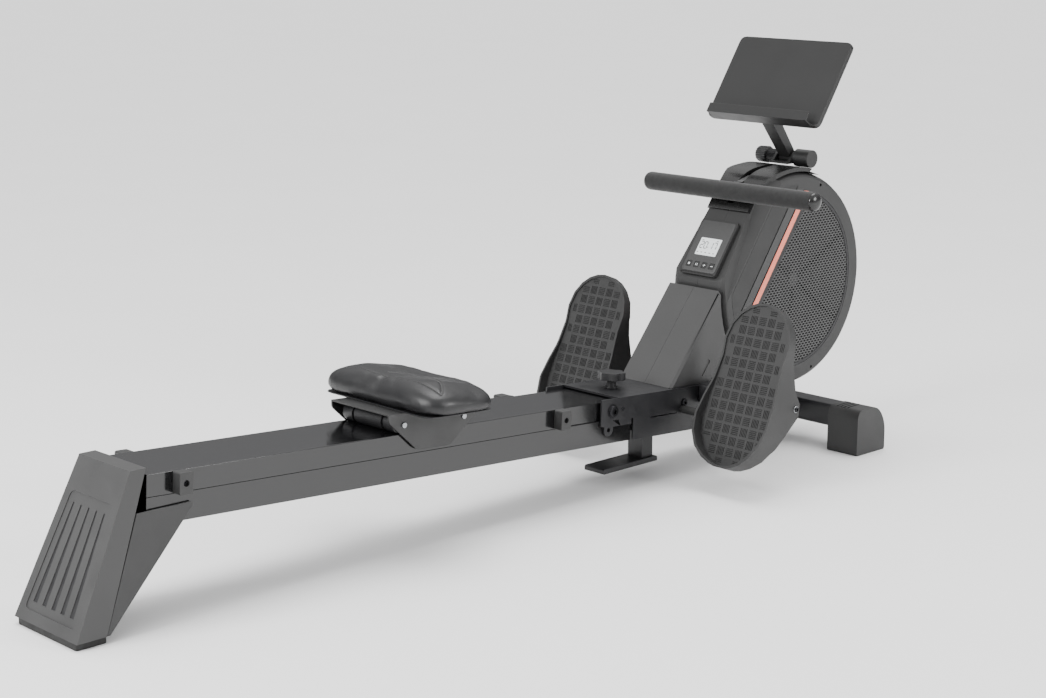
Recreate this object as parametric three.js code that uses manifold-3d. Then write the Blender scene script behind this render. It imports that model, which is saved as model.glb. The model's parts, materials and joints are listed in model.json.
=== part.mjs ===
// Magnetic rowing machine: folding rail, sliding seat, truncated-drum flywheel housing.
// Millimetres. X runs forward from the rear foot to the flywheel, Y to the rower's left, Z up.
// The pieces are laid out from the rear foot's lower edge; the whole machine is centred at the end.
import * as THREE from 'three';
import { mergeVertices } from 'three/addons/utils/BufferGeometryUtils.js';
import { ConvexGeometry } from 'three/addons/geometries/ConvexGeometry.js';
import Module from 'manifold-3d';

const wasm = await Module();
wasm.setup();

// ---- driving dimensions -------------------------------------------------------------------
const gap = 0.3;                 // between pieces that touch
const runGap = 0.6;              // between a moving piece and the one beside it
const rad = Math.PI / 180;
const sides = [['left', 1], ['right', -1]];

const railSlope = 3.37 * rad;    // the rail falls towards the flywheel
const railTopAtRear = 295;       // height of the rail top above the rear foot's lower edge
const railWidth = 165;
const railHeight = 96;
const trackHeight = 43;          // the rail's upper running sheath
const trackWall = 2;
const trackEnd = 1226;
const neckLength = 35;           // the rail's upper half reaches further into the frame
const tubeWall = 1.5;

const footHeight = 284;          // rear foot cover, above its rubber pad
const footPadHeight = 14;
const footClear = 0.5;           // rear foot's side plates outside the rail
const footFlare = 22;            // the foot is this much wider at its lower edge, each side
const footTopHalf = railWidth / 2 + footClear;
const footBottomHalf = footTopHalf + footFlare;
const footLean = 137;            // how far the cover's rear face leans forward
const footBottomDepth = 62;
const footTopDepth = 34;
const footWall = 4;
const legHalf = 24;              // upright tube inside the cover
const railStart = footLean + footTopDepth + 1;

const pivotU = 1373.8;           // rail hinge, along the rail and below its top
const pivotDrop = 23.3;
const pivotRadius = 10;
const plateThick = 4;
const bracketLength = 472;       // side plates, measured forward of the hinge
const bracketBehind = 35;        // side plates behind the hinge
const topPlateAhead = 19;
const topPlateThick = 4.5;
const slitAhead = 67;            // where the side plates reach their full depth
const floorAhead = 127;          // start of the frame's floor plate
const tabRadius = 14;
const tabDrop = 41;

const stopLength = 29;
const stopDepth = 24;
const stopHeight = 42;
const rearStopU = 227;
const frontStopU = 1197;

const seatU = 848;               // middle of the carriage along the rail
const axleSpan = 160;
const rollerRadius = 19.5;
const rollerAxleRadius = 6;
const carriageLength = 240;
const carriageRise = 41;         // carriage top plate above the rail
const carriageThick = 3;
const carriageDrop = 36;
const seatWidth = 376;
const seatLength = 206;
const seatThick = 49;
const seatAhead = 8;             // cushion ahead of the carriage's middle
const seatPanThick = 2.5;

const drumX = 2000;              // flywheel housing: a drum cut off by the sloping front face
const drumZ = 402;
const drumRadius = 257;
const housingHalf = 80;
const shroudHalf = 80;           // the lower shroud lies between the pedal brackets
const drumShoulder = 25;         // width of the drum's rounded edge
const shoulderDrop = 14;
const frontSlope = 54.3 * rad;
const frontReach = 223.7;        // from the drum's centre to the front face
const frontFlatFoot = 76;        // half-width of the flat front face, at its foot and its top
const frontFlatTop = 53;
const frontBevel = 40;
const shellWall = 3;
const grilleRadius = 212;
const grilleReach = 79;          // straight edge of the grille, from the drum's centre
const grilleThick = 2;

const shroudSlope = 50.6 * rad;
const shroudGap = 9;             // clear band between the lower shroud and the drum
const shroudStep = 24;           // the shroud's top edge lies this far below the drum's edge

const headProud = 6;             // head cover above the front face
const headThick = 11;            // head cover above the drum
const slotHalf = 9;
const headHalf = 77;
const headFlatHalf = 60;
const headFromEdge = 178;        // where the head cover starts, up the front face
const headEndAngle = 70 * rad;

const consoleStart = 3;          // up the front face
const consoleLength = 144;
const consoleHalf = 55;
const consoleProud = 10;
const screenWidth = 64;
const screenLength = 46;
const buttonCount = 4;
const buttonSize = 14;
const buttonPitch = 23;

const flywheelRadius = 145;
const flywheelThick = 20;
const flywheelY = -36;
const axleRadius = 8;
const strapDrumRadius = 35;
const strapDrumHalf = 12;
const uprightHalf = 65;
const uprightFootU = pivotU + 300;
const uprightThick = 3.5;
const strapHalf = 8;
const strapThick = 2;

const handleX = 1851;
const handleZ = 621;
const handleRadius = 22;
const handleLength = 522;
const cradleClear = 1.5;

const pedalY = 248;
const pedalAxleX = 1684;
const pedalAxleZ = 187;
const pedalLean = 69.3 * rad;
const pedalBehind = 67.4;        // pedal axle behind the tread
const pedalHeel = 166.6;         // pedal axle above the heel, along the tread
const pedalLength = 378;
const heelHalf = 104;
const waistHalf = 87;
const toeHalf = 91;
const pedalWall = 5;
const treadThick = 6;
const pedalAxleRadius = 8;
const bossRadius = 13;
const stopRodX = 1600;
const stopRodZ = 156;
const stopRodRadius = 9;
const stopRodHalf = 132;

const stabiliserX = 2070;
const stabiliserLength = 538;
const stabiliserWidth = 60;
const stabiliserBottom = 50;
const stabiliserTop = 105;
const capLength = 88;
const capWidth = 108;
const capHeight = 110;
const wheelRadius = 29;
const wheelThick = 22;
const wheelX = 2110;
const wheelZ = 52;
const beamHalf = 38;
const beamHeight = 50;

const skidLength = 178;
const skidHalf = 30;
const skidAhead = 207;           // front end of the skid, ahead of the hinge
const skidBottom = 28;
const skidThick = 12;
const postHalf = 22;

const knobU = 1458;
const knobRadius = 32;
const knobThick = 17;
const knobRise = 20;
const knobLobes = 6;

const clampX = 2066;
const clampZ = 683;
const clampHalf = 71;            // to the cap's outer face
const clampKnobFrom = 58;        // ribbed part of the knob, on the other side
const clampKnobTo = 91;
const barrelRadius = 14;
const barrelHalf = 20;
const earThick = 7;
const clampKnobRadius = 20.5;
const clampCapRadius = 21;
const trayBottomX = 1957;
const trayBottomZ = 776;
const trayLean = 55.95 * rad;
const trayLength = 223;
const trayHalf = 167;
const trayThick = 12;
const ledgeReach = 26;
const ledgeHeight = 24;
const ledgeHalf = 150;
const ledgeWall = 4;

// ---- materials ----------------------------------------------------------------------------
const paint = (color, roughness, metalness = 0) =>
  new THREE.MeshStandardMaterial({ color, roughness, metalness });
const blackPaint = paint(0x1b1b1c, 0.25, 0.3);
const darkPlastic = paint(0x3b3b3c, 0.6);
const greyPlastic = paint(0x6a6b6b, 0.6);
const greySteel = paint(0x5c5d5d, 0.5, 0.4);
const rubber = paint(0x141414, 0.85);
const foam = paint(0x2c2c2c, 0.8);
const vinyl = paint(0x18181a, 0.45);
const steel = paint(0x8c8d8f, 0.35, 0.9);
const castIron = paint(0x55565a, 0.5, 0.8);
const webbing = paint(0x101010, 0.9);
const glassWhite = paint(0xe4e8ea, 0.2);

// ---- solids -------------------------------------------------------------------------------
function toSolid(geometry) {
  const bare = geometry.clone();
  bare.deleteAttribute('normal');
  bare.deleteAttribute('uv');
  const merged = mergeVertices(bare, 1e-4);
  const corners = merged.index.array;
  const triangles = [];
  for (let i = 0; i < corners.length; i += 3) {
    const [a, b, c] = [corners[i], corners[i + 1], corners[i + 2]];
    if (a !== b && b !== c && c !== a) triangles.push(a, b, c);
  }
  return new wasm.Manifold(new wasm.Mesh({
    numProp: 3,
    vertProperties: Float32Array.from(merged.attributes.position.array),
    triVerts: Uint32Array.from(triangles),
  }));
}

function toGeometry(solid) {
  const mesh = solid.getMesh();
  const geometry = new THREE.BufferGeometry();
  geometry.setAttribute('position', new THREE.BufferAttribute(mesh.vertProperties, 3));
  geometry.setIndex(new THREE.BufferAttribute(mesh.triVerts, 1));
  return geometry;
}

const join = (first, ...others) =>
  toGeometry(others.reduce((sum, one) => sum.add(toSolid(one)), toSolid(first)));
const cut = (first, ...tools) =>
  toGeometry(tools.reduce((left, one) => left.subtract(toSolid(one)), toSolid(first)));
const common = (first, second) => toGeometry(toSolid(first).intersect(toSolid(second)));

// ---- outlines and basic shapes ------------------------------------------------------------
const outline = (points) => new THREE.Shape(points.map(([a, b]) => new THREE.Vector2(a, b)));

// A closed outline whose corners are rounded; each point is [a, b, radius].
function rounded(points, steps = 3) {
  const result = [];
  points.forEach(([a, b, radius = 0], i) => {
    const corner = new THREE.Vector2(a, b);
    if (radius === 0) {
      result.push([a, b]);
      return;
    }
    const [pa, pb] = points[(i + points.length - 1) % points.length];
    const [na, nb] = points[(i + 1) % points.length];
    const before = new THREE.Vector2(pa, pb).sub(corner);
    const after = new THREE.Vector2(na, nb).sub(corner);
    const reach = Math.min(radius, before.length() * 0.48, after.length() * 0.48);
    const start = corner.clone().addScaledVector(before.normalize(), reach);
    const end = corner.clone().addScaledVector(after.normalize(), reach);
    const bend = new THREE.QuadraticBezierCurve(start, corner, end);
    bend.getPoints(steps).forEach((point) => result.push([point.x, point.y]));
  });
  return result;
}

const rectangle = (a0, a1, b0, b1, radius = 0) =>
  rounded([[a0, b0, radius], [a1, b0, radius], [a1, b1, radius], [a0, b1, radius]]);

const arc = (x, z, radius, from, to, steps) => Array.from({ length: steps + 1 }, (_, i) => {
  const angle = from + ((to - from) * i) / steps;
  return [x + radius * Math.cos(angle), z + radius * Math.sin(angle)];
});

function withHoles(points, holes) {
  const shape = outline(points);
  holes.forEach((hole) => shape.holes.push(new THREE.Path(hole.map(([a, b]) =>
    new THREE.Vector2(a, b)))));
  return shape;
}

// Outlines in X and Z, carried along Y.
function slabY(points, y0, y1, holes = []) {
  const geometry = new THREE.ExtrudeGeometry(withHoles(points, holes),
    { depth: y1 - y0, bevelEnabled: false });
  geometry.rotateX(Math.PI / 2);
  geometry.translate(0, y1, 0);
  return geometry;
}

const slabSide = (points, near, far, side, holes = []) =>
  side > 0 ? slabY(points, near, far, holes) : slabY(points, -far, -near, holes);

// Outlines in X and Y, carried along Z.
function slabZ(points, z0, z1, holes = []) {
  const geometry = new THREE.ExtrudeGeometry(withHoles(points, holes),
    { depth: z1 - z0, bevelEnabled: false });
  geometry.translate(0, 0, z0);
  return geometry;
}

// Outlines in Y and Z, carried along X.
function slabX(points, x0, x1, holes = []) {
  const geometry = new THREE.ExtrudeGeometry(withHoles(points, holes),
    { depth: x1 - x0, bevelEnabled: false });
  geometry.applyMatrix4(new THREE.Matrix4().makeBasis(new THREE.Vector3(0, 1, 0),
    new THREE.Vector3(0, 0, 1), new THREE.Vector3(1, 0, 0)));
  geometry.translate(x0, 0, 0);
  return geometry;
}

function rodY(radius, y0, y1, x, z, segments = 20) {
  const geometry = new THREE.CylinderGeometry(radius, radius, y1 - y0, segments);
  geometry.translate(x, (y0 + y1) / 2, z);
  return geometry;
}

function rodZ(radius, z0, z1, x, y, segments = 20) {
  const geometry = new THREE.CylinderGeometry(radius, radius, z1 - z0, segments);
  geometry.rotateX(Math.PI / 2);
  geometry.translate(x, y, (z0 + z1) / 2);
  return geometry;
}

// A turned piece on an axle along Y; the profile is [radius, y] from axis to axis.
function turned(profile, x, z, segments = 32) {
  const geometry = new THREE.LatheGeometry(profile.map(([r, y]) => new THREE.Vector2(r, y)), segments);
  geometry.translate(x, 0, z);
  return geometry;
}

const hull = (points) => new ConvexGeometry(points.map(([x, y, z]) => new THREE.Vector3(x, y, z)));

// ---- scene graph --------------------------------------------------------------------------
const machine = new THREE.Group();

function add(parent, name, geometry, material) {
  const mesh = new THREE.Mesh(toGeometry(toSolid(geometry)), material.clone());
  mesh.name = name;
  parent.add(mesh);
}

// A group whose X runs up a slope and whose Z points out of it.
function sloped(x, z, lean, y = 0) {
  const group = new THREE.Group();
  group.position.set(x, y, z);
  group.rotation.y = -lean;
  machine.add(group);
  return group;
}

const railGroup = sloped(0, railTopAtRear, -railSlope);
const toRail = (x, z) => {
  const rise = z - railTopAtRear;
  return [x * Math.cos(railSlope) - rise * Math.sin(railSlope),
    x * Math.sin(railSlope) + rise * Math.cos(railSlope)];
};
const fromRail = (u, w) => [u * Math.cos(railSlope) + w * Math.sin(railSlope),
  railTopAtRear - u * Math.sin(railSlope) + w * Math.cos(railSlope)];

// The lower left end of the straight front face, and points on it.
const frontUp = [Math.cos(frontSlope), Math.sin(frontSlope)];
const chordHalf = Math.sqrt(drumRadius ** 2 - frontReach ** 2);
const frontFoot = [drumX - frontReach * frontUp[1] - chordHalf * frontUp[0],
  drumZ + frontReach * frontUp[0] - chordHalf * frontUp[1]];
const onFront = (along, out = 0) => [frontFoot[0] + along * frontUp[0] - out * frontUp[1],
  frontFoot[1] + along * frontUp[1] + out * frontUp[0]];
const frontGroup = sloped(frontFoot[0], frontFoot[1], frontSlope);
const topAngle = Math.atan2(onFront(2 * chordHalf)[1] - drumZ, onFront(2 * chordHalf)[0] - drumX);
const footAngle = Math.atan2(frontFoot[1] - drumZ, frontFoot[0] - drumX);

// ---- rail ---------------------------------------------------------------------------------
const railHalf = railWidth / 2;
const neckHalf = railHalf - trackWall - 3;
const railEnd = pivotU + slitAhead - 1.2;
const neckTop = -trackWall - gap;

function railTube() {
  const lower = slabX(rectangle(-railHalf, railHalf, -railHeight, -trackHeight - gap), railStart,
    railEnd);
  const upper = slabX(rectangle(-neckHalf, neckHalf, -trackHeight - 2, neckTop), railStart,
    railEnd + neckLength);
  const bore = slabX(rectangle(-railHalf + tubeWall, railHalf - tubeWall, -railHeight + tubeWall,
    -trackHeight - gap - tubeWall), railStart - 1, railEnd + 1);
  const upperBore = slabX(rectangle(-neckHalf + tubeWall, neckHalf - tubeWall, -trackHeight - 3.5,
    neckTop - tubeWall), railStart - 1, railEnd + neckLength + 1);
  const hinge = rodY(pivotRadius + runGap, -railWidth, railWidth, pivotU, -pivotDrop);
  return cut(join(lower, upper), bore, upperBore, hinge);
}

function railTrack() {
  const inner = neckHalf + gap;
  const section = [[-railHalf, -trackHeight], [-inner, -trackHeight], [-inner, -trackWall],
    [inner, -trackWall], [inner, -trackHeight], [railHalf, -trackHeight], [railHalf, 0], [-railHalf, 0]];
  return slabX(section, railStart, trackEnd);
}

function stopBlock(start, side) {
  const block = slabSide(rectangle(start, start + stopLength, -stopHeight, 0, 4),
    railHalf + gap, railHalf + gap + stopDepth, side);
  const hole = rodY(6, -railWidth, railWidth, start + stopLength / 2, -stopHeight / 2, 16);
  return cut(block, hole);
}

// ---- rear foot ----------------------------------------------------------------------------
const footTopZ = footPadHeight + footHeight;
const footHalfAt = (z) => footBottomHalf
  + ((footTopHalf - footBottomHalf) * (z - footPadHeight)) / footHeight;
const footRearAt = (z) => (footLean * (z - footPadHeight)) / footHeight;

function footWedge(inset, forward) {
  const points = [];
  for (const [z, depth] of [[footPadHeight + inset, footBottomDepth], [footTopZ - inset,
    footTopDepth]]) {
    for (const side of [-1, 1]) {
      const y = side * (footHalfAt(z) - inset);
      points.push([footRearAt(z) + inset * 1.2, y, z], [footRearAt(z) + depth + forward, y, z]);
    }
  }
  return hull(points);
}

const footCover = () => cut(footWedge(0, 0), footWedge(footWall, 30));

function footPlate(side) {
  const [, railTop] = fromRail(260, 0);
  const profile = [[footRearAt(footPadHeight) + footBottomDepth + gap, footPadHeight + gap],
    [footRearAt(railTop - 60) + footTopDepth + 10, railTop - 60], [262, railTop - 61],
    [262, railTop - 70], [232, railTop - railHeight], [footBottomDepth + 7, footPadHeight + gap]];
  const points = [];
  profile.forEach(([x, z]) => {
    const y = footHalfAt(z);
    points.push([x, side * y, z], [x, side * (y - plateThick), z]);
  });
  return hull(points);
}

function legBody(inset) {
  const points = [];
  const top = fromRail(railStart - gap - inset, -12 - inset);
  const bottom = fromRail(railStart - gap - inset, -railHeight + 8 + inset);
  const floor = footPadHeight + footWall + (inset > 0 ? -1 : 2);
  for (const y of [-legHalf + inset, legHalf - inset]) {
    points.push([top[0], y, top[1]], [bottom[0], y, bottom[1]], [top[0] - 14 + inset, y, top[1]],
      [footWall * 3 + 1.6 * inset, y, floor], [footBottomDepth - 6 - 1.6 * inset, y, floor]);
  }
  return hull(points);
}

const footLeg = () => cut(legBody(0), legBody(tubeWall));

const footPad = () => slabZ(rectangle(2, footBottomDepth + 4, -footBottomHalf + 6, footBottomHalf - 6,
  6),
  0, footPadHeight - gap);

// ---- main frame ---------------------------------------------------------------------------
const plateIn = railHalf + 0.7;
const plateOut = plateIn + plateThick;
const frameEnd = pivotU + bracketLength;

function mainFrame() {
  const tabU = pivotU - 10;
  const tabW = -pivotDrop - tabDrop;
  const tab = arc(tabU, tabW, tabRadius, Math.PI, 2 * Math.PI, 8);
  const profile = [[frameEnd, gap + topPlateThick], [pivotU - bracketBehind, gap + topPlateThick],
    [pivotU - bracketBehind, tabW + 10], [tabU - tabRadius, tabW + 8], ...tab,
    [tabU + tabRadius, tabW + 6], [pivotU + slitAhead, tabW + 6], [pivotU + slitAhead, -railHeight],
    [frameEnd, -railHeight]];
  const hole = arc(tabU, tabW, 5, 0, 2 * Math.PI, 12).slice(1);
  const bolt = arc(pivotU, -pivotDrop, pivotRadius + gap, 0, 2 * Math.PI, 20).slice(1);
  const [axleU, axleW] = toRail(pedalAxleX, pedalAxleZ);
  const [rodU, rodW] = toRail(stopRodX, stopRodZ);
  const plates = sides.map(([, side]) => slabSide(profile, plateIn, plateOut, side, [hole, bolt]));
  const roof = slabZ(rectangle(pivotU + topPlateAhead, frameEnd, -plateOut, plateOut), gap,
    gap + topPlateThick);
  const floor = slabZ(rectangle(pivotU + floorAhead, frameEnd, -plateOut, plateOut), -railHeight,
    -railHeight + plateThick);
  const nose = slabX(rectangle(-plateOut, plateOut, -railHeight, gap + topPlateThick),
    frameEnd - plateThick, frameEnd);
  return cut(join(...plates, roof, floor, nose),
    rodY(pedalAxleRadius + gap, -railWidth, railWidth, axleU, axleW),
    rodY(stopRodRadius + gap, -railWidth, railWidth, rodU, rodW),
    rodZ(6.3, -4, 10, knobU, 0, 16));
}

function pivotBolt() {
  const head = 7;
  const shank = rodY(pivotRadius, -plateOut - gap, plateOut + gap, pivotU, -pivotDrop);
  const caps = sides.map(([, side]) => {
    const near = plateOut + gap;
    const ring = [[0, 0], [pivotRadius + 6, 0], [pivotRadius + 4, head * 0.7], [pivotRadius - 3, head],
      [0, head]];
    const cap = turned(ring, 0, 0, 20);
    if (side < 0) cap.rotateX(Math.PI);
    cap.translate(pivotU, side * near, -pivotDrop);
    return cap;
  });
  return join(shank, ...caps);
}

function beamBody(inset) {
  const points = [];
  const front = stabiliserX - stabiliserWidth / 2 - gap + inset;
  for (const y of [-beamHalf + inset, beamHalf - inset]) {
    for (const rise of [2 + inset, 2 + beamHeight - inset]) {
      const [x, z] = fromRail(frameEnd + gap - inset, rise - railHeight);
      points.push([x, y, z]);
    }
    points.push([front, y, stabiliserBottom + 2 + inset], [front, y, stabiliserTop - 3 - inset]);
  }
  return hull(points);
}

const baseBeam = () => cut(beamBody(0), beamBody(tubeWall));

function stabiliserTube() {
  const half = stabiliserLength / 2 - capLength - gap;
  const x0 = stabiliserX - stabiliserWidth / 2;
  const x1 = stabiliserX + stabiliserWidth / 2;
  const section = rectangle(x0, x1, stabiliserBottom, stabiliserTop, 12);
  const bore = rectangle(x0 + tubeWall, x1 - tubeWall, stabiliserBottom + tubeWall,
    stabiliserTop - tubeWall, 9);
  return slabY(section, -half, half, [bore]);
}

function stabiliserCap(side) {
  const far = stabiliserLength / 2;
  const near = far - capLength;
  const x0 = stabiliserX - capWidth / 2;
  const x1 = stabiliserX + capWidth / 2;
  const profile = rounded([[x0, 0, 5], [x1, 0, 5], [x1, capHeight * 0.62, 26], [x1 - 30, capHeight, 22],
    [x0, capHeight, 22]], 4);
  const well = slabSide(rectangle(wheelX - wheelRadius - 4, x1 + 10, -10, wheelZ + wheelRadius + 4),
    near + 30, near + 30 + wheelThick + 4, side);
  const pocket = slabSide(rectangle(x0 + 6, stabiliserX - 6, 8, capHeight - 14), near + 6, far - 6,
    side);
  const mouth = slabSide(rectangle(x0 + 16, stabiliserX - 16, 20, capHeight - 40), near - 1, near + 8,
    side);
  return cut(slabSide(profile, near, far, side), well, pocket, mouth);
}

function transportWheel(side) {
  const near = stabiliserLength / 2 - capLength + 32;
  const profile = [[0, near], [wheelRadius - 3, near], [wheelRadius, near + 3],
    [wheelRadius, near + wheelThick - 3], [wheelRadius - 3, near + wheelThick], [0, near + wheelThick]];
  const wheel = turned(profile, 0, 0, 28);
  if (side < 0) wheel.rotateX(Math.PI);
  wheel.translate(wheelX, 0, wheelZ);
  return wheel;
}

function centreFoot() {
  const front = pivotU + skidAhead;
  const [, under] = fromRail(front - 8, -railHeight - gap);
  const skid = slabY(rounded([[front - skidLength, skidBottom, 3], [front, skidBottom, 3],
    [front, skidBottom + skidThick, 5], [front - skidLength, skidBottom + skidThick, 5]]), -skidHalf,
      skidHalf);
  const post = slabZ(rectangle(front - 44, front - 8, -postHalf, postHalf), skidBottom + 4, under - 1);
  return join(skid, post);
}

function pedalBracket(side) {
  const block = slabSide(rectangle(pedalAxleX - 30, pedalAxleX + 26, pedalAxleZ - 26, pedalAxleZ + 20,
    8),
    plateOut + gap, plateOut + gap + 26, side);
  return cut(block, rodY(pedalAxleRadius + gap, -pedalY, pedalY, pedalAxleX, pedalAxleZ));
}

// ---- pedals -------------------------------------------------------------------------------
// Half the pedal's width at a height above the heel.
function pedalHalfAt(along) {
  const waist = pedalLength * 0.66;
  const toe = pedalLength - toeHalf;
  if (along < heelHalf) return Math.sqrt(Math.max(0, heelHalf ** 2 - (heelHalf - along) ** 2 * 0.98));
  if (along > toe) return Math.sqrt(Math.max(0, toeHalf ** 2 - (along - toe) ** 2));
  if (along < waist) {
    const share = (along - heelHalf) / (waist - heelHalf);
    return heelHalf + (waistHalf - heelHalf) * (share * share * (3 - 2 * share));
  }
  return waistHalf + ((toeHalf - waistHalf) * (along - waist)) / (toe - waist);
}

function pedalOutline(inset) {
  const marks = [0, 0.01, 0.037, 0.09, 0.175, 0.275, 0.4, 0.53, 0.66, 0.77, 0.86, 0.926, 0.968, 0.992,
    1];
  const right = marks.map((mark) => {
    const along = mark * pedalLength;
    return [along + inset * (1 - 2 * mark), -Math.max(0.5, pedalHalfAt(along) - inset)];
  });
  return [...right, ...right.slice().reverse().map(([a, b]) => [a, -b])];
}

function pedalShell() {
  const span = heelHalf + 20;
  const lowest = -pedalBehind - bossRadius;
  const skirt = slabZ(pedalOutline(0), -90, 45, [pedalOutline(pedalWall)]);
  const side = [[-2, 24], [40, 30], [110, 24], [190, 8], [260, 4], [pedalLength + 2, 3.5],
    [pedalLength + 2, -14], [285, -22], [pedalHeel + 36, -60], [pedalHeel + 14, lowest],
    [pedalHeel - 14, lowest], [pedalHeel - 60, -48], [55, -26], [-2, -16]];
  const walls = common(skirt, slabY(side, -span, span));
  const tread = slabZ(pedalOutline(1), -treadThick, 0);
  const bosses = [-1, 1].map((end) => slabSide(arc(pedalHeel, -pedalBehind, bossRadius, 0, 2 * Math.PI,
    20).slice(1),
    pedalHalfAt(pedalHeel) - 14, pedalHalfAt(pedalHeel) - 1, end));
  const axle = rodY(pedalAxleRadius + runGap, -span, span, pedalHeel, -pedalBehind);
  return cut(join(walls, tread, ...bosses), axle);
}

// ---- flywheel housing ---------------------------------------------------------------------
// The side plates of the upright inside the housing, or the room that they need.
function uprightProfile(room) {
  const foot = fromRail(uprightFootU - 6 * room, gap + topPlateThick + gap - 6 * room);
  const toe = fromRail(frameEnd - 30 + room, gap + topPlateThick + gap - 6 * room);
  return [[foot[0], foot[1] + 1], [toe[0], toe[1] + 1], [drumX + 24 + room, drumZ - 22],
    [drumX + 24 + room, drumZ + 22], onFront(2 * chordHalf - 30, -54 - room),
    onFront(2 * chordHalf - 34 + room, -30 + room), onFront(30, -34 + room), onFront(-50, -38 + room)];
}

const uprightRoom = () => slabY(uprightProfile(2), -uprightHalf - 2, uprightHalf + 2);

// A prism in front of the sloping face, used to cut the drum there.
const beforeFront = (reach, side) => {
  const far = 500;
  const at = (along, out) => onFront(along, out);
  return slabSide([at(-far, reach), at(far + far, reach), at(far + far, far), at(-far, far)], -1, far,
    side);
};

function housingBody(inset, side) {
  const r = drumRadius - inset;
  const half = housingHalf - inset;
  const low = inset > 0 ? -1 : gap / 2;
  const profile = [[0, low], [r, low], [r, half - drumShoulder], [r - shoulderDrop * 0.25,
    half - drumShoulder * 0.45],
    [r - shoulderDrop * 0.6, half - drumShoulder * 0.12], [r - shoulderDrop, half], [0, half]];
  const drum = turned(profile, 0, 0, 72);
  if (side < 0) drum.rotateX(Math.PI);
  drum.translate(drumX, 0, drumZ);
  const bevel = [];
  for (const along of [-60, 2 * chordHalf + 60]) {
    const flat = frontFlatFoot + ((frontFlatTop - frontFlatFoot) * along) / (2 * chordHalf) - inset * 0.6;
    for (const [out, y] of [[1 - inset, flat], [60, flat], [60, half + 20], [-frontBevel - inset,
      half + 1]]) {
      const [x, z] = onFront(along, out);
      bevel.push([x, side * y, z]);
    }
  }
  return cut(drum, beforeFront(-inset, side), hull(bevel));
}

function grilleOutline(radius, reach) {
  const half = Math.acos(reach / radius);
  const facing = frontSlope - Math.PI / 2;
  return arc(drumX, drumZ, radius, facing - (Math.PI - half), facing + (Math.PI - half), 40);
}

function housingShell(side) {
  const opening = slabSide(grilleOutline(grilleRadius - 8, grilleReach - 8), housingHalf - 10,
    housingHalf + 5, side);
  const seat = slabSide(grilleOutline(grilleRadius, grilleReach), housingHalf - grilleThick - gap,
    housingHalf + 5, side);
  const post = slabSide(arc(drumX, drumZ, 17, 0, 2 * Math.PI, 20).slice(1), uprightHalf + 2,
    housingHalf - shellWall + 0.5, side);
  const strapMouth = [onFront(headFromEdge + 14, 3), onFront(2 * chordHalf + 20, 40),
    onFront(2 * chordHalf + 60, -40), onFront(headFromEdge + 14, -10)];
  const mouth = slabSide(strapMouth, -1, slotHalf, side);
  const shell = cut(housingBody(0, side), housingBody(shellWall, side), opening, seat, mouth,
    uprightRoom());
  const spokes = [0, 1, 2].map((i) => {
    const angle = frontSlope - Math.PI / 2 + (i - 1) * 62 * rad;
    const across = [-Math.sin(angle) * 6, Math.cos(angle) * 6];
    const reach = grilleRadius + 6;
    const end = [drumX + Math.cos(angle) * reach, drumZ + Math.sin(angle) * reach];
    return slabSide([[drumX - across[0], drumZ - across[1]], [end[0] - across[0], end[1] - across[1]],
      [end[0] + across[0], end[1] + across[1]], [drumX + across[0], drumZ + across[1]]],
    housingHalf - 8, housingHalf - grilleThick - 2 * gap, side);
  });
  const backSpoke = slabSide(rounded([onFront(chordHalf - 7, -frontReach), onFront(chordHalf + 7,
    -frontReach),
    onFront(chordHalf + 7, grilleReach - frontReach + 10), onFront(chordHalf - 7,
      grilleReach - frontReach + 10)]),
  housingHalf - 8, housingHalf - grilleThick - 2 * gap, side);
  return join(shell, post, ...spokes, backSpoke);
}

const grille = (side) => slabSide(grilleOutline(grilleRadius - gap, grilleReach - gap),
  housingHalf - grilleThick, housingHalf, side);

function headCover(side) {
  const endTop = [drumX + (drumRadius + headThick) * Math.cos(headEndAngle + 0.1),
    drumZ + (drumRadius + headThick) * Math.sin(headEndAngle + 0.1)];
  const outer = rounded([[...onFront(headFromEdge, gap), 0], [...onFront(headFromEdge + 2, headProud),
    4],
    [...onFront(2 * chordHalf + 6, headProud), 44], [...onFront(2 * chordHalf + 50, -20), 36],
    [drumX + 10, drumZ + drumRadius + headThick, 20], [...endTop, 16]], 5);
  const innerArc = arc(drumX, drumZ, drumRadius + gap, headEndAngle, topAngle, 10);
  const block = slabSide([...outer, ...innerArc].reverse(), gap / 2, headHalf, side);
  const slot = slabSide([onFront(headFromEdge + 18, -30), onFront(headFromEdge + 18, 60),
    [drumX - 60, drumZ + drumRadius + 90], [drumX + 22, drumZ + drumRadius + 60],
    [drumX + 22, drumZ + drumRadius - 30]], -1, slotHalf, side);
  const cradle = rodY(handleRadius + cradleClear, -200, 200, handleX, handleZ, 32);
  const bevel = [];
  for (const along of [headFromEdge - 20, 2 * chordHalf + 130]) {
    for (const [out, y] of [[headProud + 1, headFlatHalf], [60, headFlatHalf], [60, headHalf + 30],
      [-18, headHalf + 1]]) {
      const [x, z] = onFront(along, out);
      bevel.push([x, side * y, z]);
    }
  }
  return cut(block, slot, cradle, hull(bevel));
}

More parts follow.
